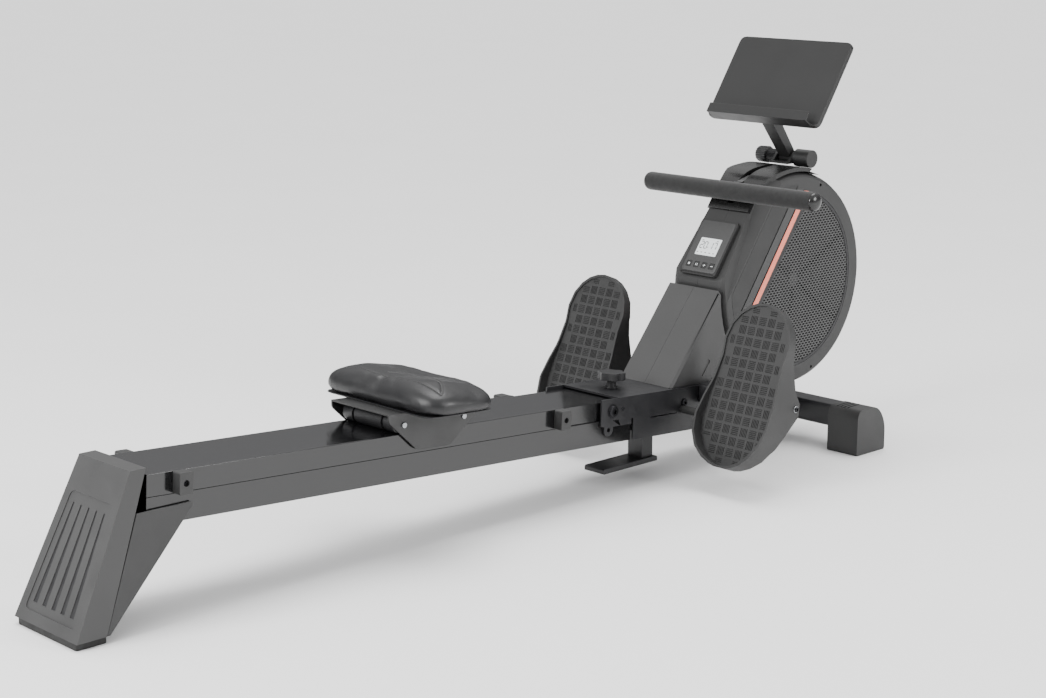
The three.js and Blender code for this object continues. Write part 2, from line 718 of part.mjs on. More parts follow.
function lowerShroud(inset, side) {
  const ring = drumRadius + shroudGap + inset;
  const topEdge = onFront(-shroudStep, -1);
  const [, baseZ] = fromRail(pivotU + 192, gap + topPlateThick + gap + inset);
  const start = [topEdge[0] - (topEdge[1] - baseZ) / Math.tan(shroudSlope) + inset * 1.6, baseZ];
  const low = fromRail(frameEnd - 10, gap + topPlateThick + gap + inset);
  const lowAngle = Math.PI + Math.asin((drumZ - low[1]) / ring);
  const upAngle = Math.PI - Math.asin((topEdge[1] - 12 - drumZ) / ring);
  const back = arc(drumX, drumZ, ring, upAngle, lowAngle, 10);
  const points = [start, ...back.slice().reverse(), [topEdge[0] - inset * 0.6,
    topEdge[1] - inset * 1.4]];
  return slabSide(points, inset > 0 ? -1 : gap / 2, shroudHalf - inset, side);
}

function shroudShell(side) {
  const bevel = [];
  const line = (along, out) => {
    const top = onFront(-shroudStep, -1);
    return [top[0] - along * Math.cos(shroudSlope) - out * Math.sin(shroudSlope),
      top[1] - along * Math.sin(shroudSlope) + out * Math.cos(shroudSlope)];
  };
  for (const along of [-40, 330]) {
    for (const [out, y] of [[1, shroudHalf - 7], [20, shroudHalf - 7], [20, shroudHalf + 9],
      [-7, shroudHalf + 1]]) {
      const [x, z] = line(along, out);
      bevel.push([x, side * y, z]);
    }
  }
  return cut(lowerShroud(0, side), lowerShroud(shellWall, side), hull(bevel), uprightRoom());
}

// ---- inside the housing -------------------------------------------------------------------
function uprightFrame() {
  const foot = fromRail(uprightFootU, gap + topPlateThick + gap);
  const toe = fromRail(frameEnd - 30, gap + topPlateThick + gap);
  const lift = 8;
  const profile = uprightProfile(0);
  const plates = sides.map(([, side]) => cut(slabSide(profile, uprightHalf - uprightThick, uprightHalf,
    side),
    rodY(axleRadius + gap, -housingHalf, housingHalf, drumX, drumZ)));
  const sole = slabY([[foot[0], foot[1]], [toe[0], toe[1]], [toe[0], toe[1] + lift], [foot[0],
    foot[1] + lift]],
    -uprightHalf, uprightHalf);
  const tie = slabY([onFront(60, -34), onFront(60, -44), onFront(100, -44), onFront(100, -34)],
    -uprightHalf + 1, uprightHalf - 1);
  return join(...plates, sole, tie);
}

function flywheel() {
  const y0 = flywheelY - flywheelThick / 2;
  const y1 = flywheelY + flywheelThick / 2;
  const bore = axleRadius + gap;
  const profile = [[bore, y0], [flywheelRadius - 3, y0], [flywheelRadius, y0 + 3], [flywheelRadius,
    y1 - 3],
    [flywheelRadius - 3, y1], [flywheelRadius - 26, y1], [flywheelRadius - 26, y1 - 8], [34, y1 - 8],
      [28, y1],
    [bore, y1], [bore, y0]];
  return turned(profile, drumX, drumZ, 48);
}

function strapDrum() {
  const bore = axleRadius + gap;
  const flange = strapDrumRadius + 12;
  const y = strapDrumHalf;
  const profile = [[bore, -y - 3], [flange, -y - 3], [flange, -y], [strapDrumRadius, -y],
    [strapDrumRadius, y],
    [flange, y], [flange, y + 3], [bore, y + 3], [bore, -y - 3]];
  return turned(profile, drumX, drumZ, 32);
}

function recoilSpring() {
  const bore = axleRadius + gap;
  const y0 = strapDrumHalf + 3 + gap;
  const profile = [[bore, y0], [40, y0], [40, y0 + 20], [bore, y0 + 20], [bore, y0]];
  return turned(profile, drumX, drumZ, 28);
}

function magnetArm() {
  const start = -30 * rad;
  const end = 50 * rad;
  const inner = arc(drumX, drumZ, flywheelRadius + 4, start, end, 10);
  const outer = arc(drumX, drumZ, flywheelRadius + 20, end, start, 10);
  const points = [...inner, ...outer];
  return slabY(points, flywheelY - 22, flywheelY + 22);
}

// ---- console ------------------------------------------------------------------------------
const screenAt = consoleStart + consoleLength * 0.5;
const buttonsAt = consoleStart + consoleLength * 0.17;
const buttonY = (index) => (index - (buttonCount - 1) / 2) * buttonPitch;

function consoleBody() {
  const top = consoleProud;
  const end = consoleStart + consoleLength;
  const body = slabZ(rectangle(consoleStart, end, -consoleHalf, consoleHalf, 9), gap, top);
  const window = slabZ(rectangle(screenAt - screenLength / 2 - gap, screenAt + screenLength / 2 + gap,
    -screenWidth / 2 - gap, screenWidth / 2 + gap), top - 4, top + 1);
  const keys = Array.from({ length: buttonCount }, (_,
    i) => slabZ(rectangle(buttonsAt - buttonSize / 2 - 0.4,
    buttonsAt + buttonSize / 2 + 0.4, buttonY(i) - buttonSize / 2 - 0.4,
      buttonY(i) + buttonSize / 2 + 0.4),
  top - 5, top + 1));
  return cut(body, window, ...keys);
}

const consoleScreen = () => slabZ(rectangle(screenAt - screenLength / 2, screenAt + screenLength / 2,
  -screenWidth / 2, screenWidth / 2), consoleProud - 4 + gap, consoleProud - 1);

const consoleButton = (i) => slabZ(rectangle(buttonsAt - buttonSize / 2, buttonsAt + buttonSize / 2,
  buttonY(i) - buttonSize / 2, buttonY(i) + buttonSize / 2, 2), consoleProud - 3.4, consoleProud + 0.8);

// ---- seat ---------------------------------------------------------------------------------
function seatCarriage() {
  const half = carriageLength / 2;
  const near = railHalf + 4;
  const top = carriageRise + carriageThick;
  const profile = rounded([[seatU - half, top, 0], [seatU - half, top - 15, 10],
    [seatU - 42, -carriageDrop, 10], [seatU + 46, -carriageDrop, 10], [seatU + half, top - 15, 10],
    [seatU + half, top, 0]]);
  const plates = sides.map(([, side]) => slabSide(profile, near, near + 4, side));
  const roof = slabZ(rectangle(seatU - half, seatU + half, -near - 4, near + 4), carriageRise, top);
  const axles = [-1, 1].map((end) => rodY(rollerAxleRadius + gap, -railWidth, railWidth,
    seatU + (end * axleSpan) / 2, rollerRadius + gap, 16));
  return cut(join(...plates, roof), ...axles);
}

const rollerAxle = (end) => rodY(rollerAxleRadius, -railHalf - 11, railHalf + 11,
  seatU + (end * axleSpan) / 2, rollerRadius + gap, 16);

function seatRoller(end) {
  const half = railHalf - 4;
  const bore = rollerAxleRadius + gap;
  const profile = [[bore, -half], [rollerRadius - 2, -half], [rollerRadius, -half + 2], [rollerRadius,
    half - 2],
    [rollerRadius - 2, half], [bore, half], [bore, -half]];
  return turned(profile, seatU + (end * axleSpan) / 2, rollerRadius + gap, 24);
}

const panBottom = carriageRise + carriageThick + gap;
const cushionMiddle = seatU + seatAhead;
const seatPan = () => slabZ(rectangle(cushionMiddle - seatLength / 2 + 14,
  cushionMiddle + seatLength / 2 - 14,
  -seatWidth / 2 + 22, seatWidth / 2 - 22, 26), panBottom, panBottom + seatPanThick);

function seatCushion() {
  const bottom = panBottom + seatPanThick + gap;
  const points = [];
  for (const [inset, z] of [[12, 0], [1, seatThick * 0.3], [0, seatThick * 0.55], [10, seatThick * 0.9],
    [26, seatThick]]) {
    rectangle(cushionMiddle - seatLength / 2 + inset, cushionMiddle + seatLength / 2 - inset,
      -seatWidth / 2 + inset,
      seatWidth / 2 - inset, 40).forEach(([x, y]) => points.push([x, y, bottom + z]));
  }
  return hull(points);
}

// ---- handle -------------------------------------------------------------------------------
function handleGrip() {
  const half = handleLength / 2;
  const r = handleRadius;
  const profile = [[0, -half], [r * 0.62, -half + 2], [r * 0.9, -half + 8], [r, -half + 16], [r,
    half - 16],
    [r * 0.9, half - 8], [r * 0.62, half - 2], [0, half]];
  return turned(profile, handleX, handleZ, 24);
}

function pullStrap() {
  const from = [handleX + handleRadius * 0.86 + 1, handleZ + handleRadius * 0.5 + 1];
  const to = [handleX + 76, handleZ + 28];
  const away = [to[0] - from[0], to[1] - from[1]];
  const size = Math.hypot(...away);
  const thick = [(-away[1] / size) * strapThick, (away[0] / size) * strapThick];
  return slabY([from, to, [to[0] + thick[0], to[1] + thick[1]], [from[0] + thick[0],
    from[1] + thick[1]]],
    -strapHalf, strapHalf);
}

// ---- knobs --------------------------------------------------------------------------------
function foldKnob() {
  const steps = knobLobes * 6;
  const lobed = Array.from({ length: steps }, (_, i) => {
    const angle = (i / steps) * 2 * Math.PI;
    const r = knobRadius - 3 + 3 * Math.cos(knobLobes * angle);
    return [knobU + r * Math.cos(angle), r * Math.sin(angle)];
  });
  const base = gap + topPlateThick + runGap;
  const disc = slabZ(lobed, base + knobRise, base + knobRise + knobThick);
  const neck = rodZ(11, base + 3, base + knobRise + 1, knobU, 0, 16);
  const flange = rodZ(15, base, base + 4, knobU, 0, 20);
  const screw = rodZ(5.7, -1.6, base + 1, knobU, 0, 12);
  return join(disc, neck, flange, screw);
}

function clampKnob() {
  const steps = 36;
  const ribbed = Array.from({ length: steps }, (_, i) => {
    const angle = (i / steps) * 2 * Math.PI;
    const r = clampKnobRadius - (i % 3 === 0 ? 1.6 : 0);
    return [clampX + r * Math.cos(angle), clampZ + r * Math.sin(angle)];
  });
  const collar = rodY(barrelRadius + 1, barrelHalf + earThick + 4 * gap, clampKnobFrom + 1, clampX,
    clampZ);
  return join(slabY(ribbed, clampKnobFrom, clampKnobTo), collar);
}

// ---- tablet holder ------------------------------------------------------------------------
function tabletBracket() {
  const near = barrelHalf + gap + 0.4;
  const seatZ = drumZ + drumRadius + headThick;
  const foot = slabZ(rectangle(clampX - 40, clampX - barrelRadius - 1.5, -near - earThick,
    near + earThick, 2),
    seatZ + gap, seatZ + 5);
  const ears = sides.map(([, side]) => slabSide(rounded([[clampX - 36, seatZ + 1, 0], [clampX + 6,
    seatZ + 1, 0],
    [clampX + 15, clampZ, 8], [clampX + 8, clampZ + 14, 8], [clampX - 12, clampZ + 12, 8]]), near,
      near + earThick, side));
  const bore = rodY(6 + gap, -80, 80, clampX, clampZ, 16);
  const cap = rodY(clampCapRadius, -clampHalf, -near - earThick + 0.5, clampX, clampZ, 28);
  const spindle = rodY(6, -near - earThick - 1, near + earThick - 0.5, clampX, clampZ, 16);
  return join(cut(join(foot, ...ears), bore), cap, spindle);
}

function tabletArm() {
  const barrel = rodY(barrelRadius, -barrelHalf, barrelHalf, clampX, clampZ, 24);
  const start = [clampX - 4, clampZ + 4];
  const lean = [Math.cos(trayLean), Math.sin(trayLean)];
  const back = trayThick + gap;
  const low = [trayBottomX + 12 * lean[0] + back * lean[1], trayBottomZ + 12 * lean[1] - back * lean[0]];
  const high = [trayBottomX + 95 * lean[0] + back * lean[1],
    trayBottomZ + 95 * lean[1] - back * lean[0]];
  const out = [lean[1] * 6, -lean[0] * 6];
  const bar = hull([-17, 17].flatMap((y) => [[start[0] - 9, y, start[1] - 5], [start[0] + 7, y,
    start[1] + 8],
    [low[0] + out[0] + 16, y, low[1] + out[1] + 22], [low[0] + out[0], y, low[1] + out[1]],
    [low[0] + lean[0] * 20, y, low[1] + lean[1] * 20], [low[0], y, low[1]]]));
  const plate = slabY([low, high, [high[0] + out[0], high[1] + out[1]], [low[0] + out[0],
    low[1] + out[1]]], -42, 42);
  return cut(join(barrel, bar, plate), rodY(6 + runGap, -80, 80, clampX, clampZ, 16));
}

function tabletTray() {
  const plate = slabZ(rectangle(0, trayLength, -trayHalf, trayHalf, 16), -trayThick, 0);
  const hollow = slabZ(rectangle(8, trayLength - 8, -trayHalf + 8, trayHalf - 8, 10), -trayThick - 1,
    -3.5);
  const spine = slabZ(rectangle(6, 110, -46, 46), -trayThick, -3);
  const shelf = slabZ(rectangle(0, ledgeWall, -ledgeHalf, ledgeHalf), -1, ledgeReach);
  const lip = slabZ(rectangle(0, ledgeHeight, -ledgeHalf, ledgeHalf), ledgeReach - ledgeWall,
    ledgeReach);
  return join(cut(plate, hollow), spine, shelf, lip);
}

// ---- assembly -----------------------------------------------------------------------------
add(railGroup, 'rail_tube', railTube(), blackPaint);
add(railGroup, 'rail_track', railTrack(), blackPaint);
add(railGroup, 'main_frame', mainFrame(), blackPaint);
add(railGroup, 'pivot_bolt', pivotBolt(), steel);
add(railGroup, 'seat_carriage', seatCarriage(), greySteel);
add(railGroup, 'seat_pan', seatPan(), darkPlastic);
add(railGroup, 'seat_cushion', seatCushion(), vinyl);
add(railGroup, 'fold_knob', foldKnob(), darkPlastic);
for (const [name, end] of [['rear', -1], ['front', 1]]) {
  add(railGroup, `roller_axle_${name}`, rollerAxle(end), steel);
  add(railGroup, `seat_roller_${name}`, seatRoller(end), rubber);
}

add(machine, 'foot_cover', footCover(), greyPlastic);
add(machine, 'foot_leg', footLeg(), blackPaint);
add(machine, 'foot_pad', footPad(), rubber);
add(machine, 'base_beam', baseBeam(), blackPaint);
add(machine, 'stabiliser_tube', stabiliserTube(), blackPaint);
add(machine, 'pedal_axle', rodY(pedalAxleRadius, -pedalY - waistHalf - 12, pedalY + waistHalf + 12,
  pedalAxleX, pedalAxleZ), steel);
add(machine, 'stop_rod', rodY(stopRodRadius, -stopRodHalf, stopRodHalf, stopRodX, stopRodZ), rubber);
add(machine, 'upright_frame', uprightFrame(), blackPaint);
add(machine, 'flywheel_axle', rodY(axleRadius, -uprightHalf - 1, uprightHalf + 1, drumX, drumZ), steel);
add(machine, 'flywheel', flywheel(), castIron);
add(machine, 'strap_drum', strapDrum(), darkPlastic);
add(machine, 'recoil_spring', recoilSpring(), steel);
add(machine, 'magnet_arm', magnetArm(), steel);
add(machine, 'handle_grip', handleGrip(), foam);
add(machine, 'pull_strap', pullStrap(), webbing);
add(machine, 'tablet_bracket', tabletBracket(), darkPlastic);
add(machine, 'clamp_knob', clampKnob(), darkPlastic);
add(machine, 'tablet_arm', tabletArm(), darkPlastic);

const trayGroup = sloped(trayBottomX, trayBottomZ, trayLean);
add(trayGroup, 'tablet_tray', tabletTray(), darkPlastic);

add(frontGroup, 'console_body', consoleBody(), greyPlastic);
add(frontGroup, 'console_screen', consoleScreen(), glassWhite);
for (let i = 0; i < buttonCount; i += 1) {
  add(frontGroup, `console_button_${i + 1}`, consoleButton(i), greyPlastic);
}
add(machine, 'centre_foot', centreFoot(), blackPaint);

for (const [name, side] of sides) {
  add(railGroup, `rear_stop_${name}`, stopBlock(rearStopU, side), greySteel);
  add(railGroup, `front_stop_${name}`, stopBlock(frontStopU, side), greySteel);
  add(machine, `foot_plate_${name}`, footPlate(side), greySteel);
  add(machine, `stabiliser_cap_${name}`, stabiliserCap(side), greyPlastic);
  add(machine, `transport_wheel_${name}`, transportWheel(side), rubber);
  add(machine, `pedal_bracket_${name}`, pedalBracket(side), blackPaint);
  add(machine, `housing_${name}`, housingShell(side), greyPlastic);
  add(machine, `grille_${name}`, grille(side), darkPlastic);
  add(machine, `head_cover_${name}`, headCover(side), darkPlastic);
  add(machine, `lower_shroud_${name}`, shroudShell(side), greyPlastic);
  const heelX = pedalAxleX - pedalHeel * Math.cos(pedalLean) - pedalBehind * Math.sin(pedalLean);
  const heelZ = pedalAxleZ - pedalHeel * Math.sin(pedalLean) + pedalBehind * Math.cos(pedalLean);
  add(sloped(heelX, heelZ, pedalLean, side * pedalY), `pedal_${name}`, pedalShell(), greyPlastic);
}

// The origin is on the floor under the middle of the machine.
machine.updateMatrixWorld(true);
const extent = new THREE.Box3().setFromObject(machine, true);
machine.position.set(-(extent.min.x + extent.max.x) / 2, -(extent.min.y + extent.max.y) / 2,
  -extent.min.z);

export default machine;
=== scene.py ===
import json
import math

import bmesh
import bpy
from mathutils import Matrix, Vector
from mathutils.bvhtree import BVHTree


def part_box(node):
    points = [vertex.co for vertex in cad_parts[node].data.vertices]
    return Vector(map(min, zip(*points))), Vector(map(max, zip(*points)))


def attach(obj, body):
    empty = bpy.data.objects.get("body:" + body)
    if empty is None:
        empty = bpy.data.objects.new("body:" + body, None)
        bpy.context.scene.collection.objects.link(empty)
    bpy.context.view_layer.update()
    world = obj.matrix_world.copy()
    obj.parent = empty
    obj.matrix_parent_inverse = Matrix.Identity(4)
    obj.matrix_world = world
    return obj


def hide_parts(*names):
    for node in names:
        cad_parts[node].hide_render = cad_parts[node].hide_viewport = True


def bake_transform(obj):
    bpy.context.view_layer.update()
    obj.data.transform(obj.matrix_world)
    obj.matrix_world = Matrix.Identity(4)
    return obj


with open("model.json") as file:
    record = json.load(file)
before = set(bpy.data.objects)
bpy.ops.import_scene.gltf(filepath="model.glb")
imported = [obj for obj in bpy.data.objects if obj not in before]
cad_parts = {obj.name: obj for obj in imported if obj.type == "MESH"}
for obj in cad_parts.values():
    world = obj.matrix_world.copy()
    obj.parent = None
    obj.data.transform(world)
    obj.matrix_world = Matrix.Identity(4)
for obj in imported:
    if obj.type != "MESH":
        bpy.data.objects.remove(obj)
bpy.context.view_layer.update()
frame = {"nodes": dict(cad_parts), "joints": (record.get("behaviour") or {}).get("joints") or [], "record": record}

scene = bpy.context.scene
mm = 0.001
sides = ((1, "left"), (-1, "right"))
print("frame loaded,", len(frame["nodes"]), "nodes")

# materials


# sRGB hex to the linear colour that Blender's sockets take
def linear(code):
    result = []
    for start in (1, 3, 5):
        share = int(code[start:start + 2], 16) / 255
        result.append(share / 12.92 if share <= 0.04045 else ((share + 0.055) / 1.055) ** 2.4)
    return (*result, 1.0)


# one node: settings by property or input name, links from sockets into its inputs
def place(tree, kind, settings=None, links=None):
    node = tree.nodes.new("ShaderNode" + kind)
    for name, value in (settings or {}).items():
        if isinstance(name, int) or name in node.inputs:
            node.inputs[name].default_value = value
        else:
            setattr(node, name, value)
    for name, socket in (links or {}).items():
        tree.links.new(socket, node.inputs[name])
    return node


# a surface from its dictionary: base colour with cloudy variation, grain and pores as bumps at real
# millimetre sizes, roughness that wanders, and an optional brushed direction or coat
def finish(name, look):
    material = bpy.data.materials.new(name)
    material.use_nodes = True
    tree = material.node_tree
    shader = tree.nodes["Principled BSDF"]
    where = place(tree, "TexCoord").outputs["Object"]
    stretch = place(tree, "Mapping", {"Scale": look.get("stretch", (1, 1, 1))},
                    {"Vector": where}).outputs["Vector"]
    cloud = place(tree, "TexNoise", {"Scale": 1 / (look["cloud"] * mm), "Detail": 4.0}, {"Vector": stretch})
    mottle = place(tree, "Mix", {"data_type": "RGBA", 6: linear(look["low"]), 7: linear(look["high"])},
                   {0: cloud.outputs["Fac"]})
    tree.links.new(mottle.outputs[2], shader.inputs["Base Color"])
    smudge = place(tree, "TexNoise", {"Scale": 1 / (look["smudge"] * mm), "Detail": 3.0, "Roughness": 0.6},
                   {"Vector": where})
    rough = place(tree, "MapRange", {"To Min": look["rough"][0], "To Max": look["rough"][1],
                                     "From Min": 0.3, "From Max": 0.7}, {"Value": smudge.outputs["Fac"]})
    tree.links.new(rough.outputs["Result"], shader.inputs["Roughness"])
    shader.inputs["Metallic"].default_value = look.get("metal", 0.0)
    if not look.get("metal"):
        shader.inputs["IOR"].default_value = look.get("ior", 1.5)
    shader.inputs["Coat Weight"].default_value = look.get("coat", 0.0)
    shader.inputs["Coat Roughness"].default_value = look.get("coatRough", 0.08)
    shader.inputs["Sheen Weight"].default_value = look.get("sheen", 0.0)
    grain = place(tree, "TexNoise", {"Scale": 1 / (look["grain"] * mm), "Detail": 2.0}, {"Vector": stretch})
    height = grain.outputs["Fac"]
    if look.get("cells"):
        cells = place(tree, "TexVoronoi", {"Scale": 1 / (look["cells"] * mm),
                                        "feature": "DISTANCE_TO_EDGE"},
                      {"Vector": stretch})
        creases = place(tree, "MapRange", {"From Max": 0.25}, {"Value": cells.outputs["Distance"]})
        both = place(tree, "Math", {"operation": "MULTIPLY_ADD", 1: 0.35},
                     {0: height, 2: creases.outputs["Result"]})
        height = both.outputs["Value"]
    fine = place(tree, "Bump", {"Strength": look["relief"], "Distance": look.get("deep", 0.06) * mm},
                 {"Height": height})
    wave = place(tree, "TexNoise", {"Scale": 1 / (look.get("ripple", 90) * mm), "Detail": 1.0},
                 {"Vector": where})
    broad = place(tree, "Bump", {"Strength": look.get("wobble", 0.06), "Distance": 1.2 * mm},
                  {"Height": wave.outputs["Fac"], "Normal": fine.outputs["Normal"]})
    tree.links.new(broad.outputs["Normal"], shader.inputs["Normal"])
    return material


looks = {
    # sprayed and baked gloss enamel: almost smooth, its faint orange peel only bends reflections
    "glossEnamel": {"low": "#0E0E0F", "high": "#151516", "cloud": 180, "smudge": 60, "rough": (0.1, 0.2),
                    "grain": 2.2, "relief": 0.05, "ripple": 60, "wobble": 0.03, "coat": 0.3},
    # powder coat on steel tube: fine pebbled skin that softens highlights
    "blackPowder": {"low": "#18181A", "high": "#212123", "cloud": 120, "smudge": 45, "rough": (0.32, 0.46),
                    "grain": 0.9, "relief": 0.22, "wobble": 0.04},
    # grey powder coat on pressed plate: dull and even, a little lighter on open faces
    "greyPowder": {"low": "#272727", "high": "#303030", "cloud": 90, "smudge": 50, "rough": (0.42, 0.56),
                   "grain": 0.8, "relief": 0.2, "wobble": 0.04},
    # spark-eroded moulded plastic: dry grain that breaks the light into a broad sheen
    "greyShell": {"low": "#262626", "high": "#2D2D2D", "cloud": 140, "smudge": 70, "rough": (0.44, 0.56),
                  "grain": 0.7, "relief": 0.3, "wobble": 0.05},
    # the same moulding painted lighter: a painted highlight for the panels that catch the light
    "litShell": {"low": "#343434", "high": "#3C3C3C", "cloud": 140, "smudge": 70, "rough": (0.42, 0.54),
                  "grain": 0.7, "relief": 0.3, "wobble": 0.05},
    # charcoal moulded plastic with a finer spark grain: darker, slightly silkier
    "darkShell": {"low": "#1A1A1A", "high": "#202020", "cloud": 120, "smudge": 60, "rough": (0.38, 0.5),
                  "grain": 0.6, "relief": 0.25, "wobble": 0.05},
    # black glass-filled nylon: matt, faintly streaked by its flow
    "blackNylon": {"low": "#141415", "high": "#1E1E20", "cloud": 40, "smudge": 25, "rough": (0.4, 0.55),
                   "grain": 0.6, "relief": 0.25, "stretch": (1, 1, 0.5)},
    # polished moulding: a crisp narrow highlight round the head cover
    "glossShell": {"low": "#121212", "high": "#171717", "cloud": 100, "smudge": 50, "rough": (0.2, 0.32),
                   "grain": 1.2, "relief": 0.06, "wobble": 0.04},
    # vulcanised rubber: flat, dusty black
    "rubber": {"low": "#101010", "high": "#1B1B1A", "cloud": 30, "smudge": 20, "rough": (0.62, 0.8),
               "grain": 0.8, "relief": 0.35, "ior": 1.52},
    # closed-cell foam sleeve: open pores that swallow the light
    "foam": {"low": "#101010", "high": "#161616", "cloud": 14, "smudge": 12, "rough": (0.68, 0.82),
             "grain": 0.5, "cells": 1.3, "relief": 0.5, "deep": 0.12, "ior": 1.45, "sheen": 0.15},
    # grained upholstery vinyl: leathery cells with a soft plasticised shine
    "vinyl": {"low": "#0F0F10", "high": "#19191B", "cloud": 60, "smudge": 35, "rough": (0.34, 0.48),
              "grain": 0.6, "cells": 1.6, "relief": 0.28, "deep": 0.08, "wobble": 0.1},
    # zinc-plated fasteners: pale, slightly clouded metal
    "zinc": {"low": "#9A9C9E", "high": "#B7B9BB", "cloud": 6, "smudge": 5, "rough": (0.28, 0.42),
             "grain": 0.5, "relief": 0.12, "metal": 1.0},
    # blackened bolts: dark oxide with worn bright grain
    "blackOxide": {"low": "#1F1F21", "high": "#3A3A3C", "cloud": 5, "smudge": 5, "rough": (0.3, 0.45),
                   "grain": 0.5, "relief": 0.15, "metal": 1.0},
    # turned bright shaft: rings round its length
    "shaft": {"low": "#8C8E90", "high": "#A9ABAD", "cloud": 8, "smudge": 9, "rough": (0.22, 0.34),
              "grain": 0.5, "relief": 0.2, "stretch": (1, 6, 1), "metal": 1.0},
    # cast and turned iron
    "castIron": {"low": "#45464A", "high": "#5B5C60", "cloud": 10, "smudge": 12, "rough": (0.45, 0.6),
                 "grain": 1.2, "relief": 0.35, "metal": 1.0},
    # woven nylon webbing: ribs across the strap
    "webbing": {"low": "#0D0D0D", "high": "#1D1D1D", "cloud": 3, "smudge": 8, "rough": (0.7, 0.85),
                "grain": 0.5, "relief": 0.6, "deep": 0.2, "stretch": (2.4, 0.6, 2.4), "sheen": 0.3},
    # satin coral film laid in the trim channel
    "coralFilm": {"low": "#EC7C66", "high": "#F08A74", "cloud": 60, "smudge": 40, "rough": (0.34, 0.44),
                  "grain": 0.6, "relief": 0.08},
    # clear display window over a pale backing
    "lcdGlass": {"low": "#E4E9EA", "high": "#EEF2F2", "cloud": 30, "smudge": 16, "rough": (0.06, 0.12),
                 "grain": 1.5, "relief": 0.02, "coat": 0.6, "coatRough": 0.03},
    # tread lines: darker than the plate they stand on, so the weave reads
    "treadLine": {"low": "#080808", "high": "#0D0D0D", "cloud": 20, "smudge": 20, "rough": (0.5, 0.62),
                  "grain": 0.6, "relief": 0.2},
    # black sheet behind the mesh: painted shade for the dark housing inside, seen through the holes
    "shadeSheet": {"low": "#050505", "high": "#0A0A0A", "cloud": 20, "smudge": 20, "rough": (0.85, 0.95),
             "grain": 0.6, "relief": 0.4},
    # printed segments
    "lcdInk": {"low": "#17191A", "high": "#202324", "cloud": 4, "smudge": 6, "rough": (0.3, 0.4),
               "grain": 0.5, "relief": 0.05},
    # white pad print on the keys
    "padPrint": {"low": "#C9CCCC", "high": "#DADCDC", "cloud": 4, "smudge": 6, "rough": (0.4, 0.5),
                 "grain": 0.4, "relief": 0.1},
    # punched and powder-coated mesh
    "meshCoat": {"low": "#3E3E3E", "high": "#474747", "cloud": 50, "smudge": 30, "rough": (0.36, 0.5),
                 "grain": 0.7, "relief": 0.2},
}
paints = {name: finish(name, look) for name, look in looks.items()}
print("materials made")

# making pieces


# an object that rides a body, with its material and the CAD nodes it stands for
def show(name, mesh, body, look, stands=()):
    piece = bpy.data.objects.new(name, mesh)
    scene.collection.objects.link(piece)
    mesh.materials.clear()
    mesh.materials.append(paints[look])
    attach(piece, body)
    if stands:
        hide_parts(*stands)
    return piece


def smooth(mesh, angle=32):
    for polygon in mesh.polygons:
        polygon.use_smooth = True
    mesh.set_sharp_from_angle(angle=math.radians(angle))


# the mesh after these modifiers, each (type, settings)
def through(mesh, *modifiers):
    carrier = bpy.data.objects.new("carrier", mesh)
    scene.collection.objects.link(carrier)
    for kind, settings in modifiers:
        modifier = carrier.modifiers.new(kind.lower(), kind)
        for name, value in settings.items():
            setattr(modifier, name, value)
    graph = bpy.context.evaluated_depsgraph_get()
    result = bpy.data.meshes.new_from_object(carrier.evaluated_get(graph), depsgraph=graph)
    bpy.data.objects.remove(carrier)
    return result


def meshOf(points, faces):
    mesh = bpy.data.meshes.new("mesh")
    mesh.from_pydata([tuple(point) for point in points], [], faces)
    shell = bmesh.new()
    shell.from_mesh(mesh)
    bmesh.ops.recalc_face_normals(shell, faces=shell.faces)
    shell.to_mesh(mesh)
    shell.free()
    return mesh


# an outline [(a, b)] in mm carried from low to high along the basis' third axis
def prism(outline, low, high, basis):
    points = [basis @ Vector((a * mm, b * mm, level * mm)) for level in (low, high) for a, b in outline]
    count = len(outline)
    faces = [list(range(count))[::-1], list(range(count, 2 * count))]
    faces += [[i, (i + 1) % count, (i + 1) % count + count, i + count] for i in range(count)]
    return meshOf(points, faces)


# several meshes in one
def merged(meshes):
    shell = bmesh.new()
    for mesh in meshes:
        shell.from_mesh(mesh)
    result = bpy.data.meshes.new("merged")
    shell.to_mesh(result)
    shell.free()
    return result


# the mesh less the cutters, by exact boolean
def carved(mesh, cutters):
    tools = []
    modifiers = []
    for cutter in cutters:
        tool = bpy.data.objects.new("cutter", cutter)
        scene.collection.objects.link(tool)
        tools.append(tool)
        modifiers.append(("BOOLEAN", {"operation": "DIFFERENCE", "solver": "EXACT", "object": tool}))
    result = through(mesh, *modifiers)
    for tool in tools:
        bpy.data.objects.remove(tool)
    return result


# edges sharper than angle rounded by width in mm, with even shading on the flats
def softened(mesh, width, segments=3, angle=30):
    rounded = through(mesh, ("BEVEL", {"width": width * mm, "segments": segments, "limit_method": "ANGLE",
                                       "angle_limit": math.radians(angle), "miter_outer": "MITER_ARC"}))
    smooth(rounded, 34)
    return through(rounded, ("WEIGHTED_NORMAL", {"keep_sharp": True, "weight": 70}))


# the CAD mesh with its flat faces whole again, ready for bevels
def cleanCopy(node):
    mesh = frame["nodes"][node].data.copy()
    shell = bmesh.new()
    shell.from_mesh(mesh)
    bmesh.ops.remove_doubles(shell, verts=shell.verts, dist=0.02 * mm)
    bmesh.ops.dissolve_limit(shell, angle_limit=math.radians(0.6), verts=shell.verts, edges=shell.edges)
    shell.to_mesh(mesh)
    shell.free()
    if "custom_normal" in mesh.attributes:
        mesh.attributes.remove(mesh.attributes["custom_normal"])
    return mesh


# the faces of a tube of closed rows of count points each, shut at both ends
def tubeFaces(rows, count):
    faces = [[row * count + k, row * count + (k + 1) % count, (row + 1) * count + (k + 1) % count,
              (row + 1) * count + k] for row in range(rows - 1) for k in range(count)]
    return faces + [list(range(count))[::-1], list(range((rows - 1) * count, rows * count))]


# corners of an oblong, from its limits along each axis
def oblong(lowA, highA, lowB, highB):
    return [(lowA, lowB), (highA, lowB), (highA, highB), (lowA, highB)]


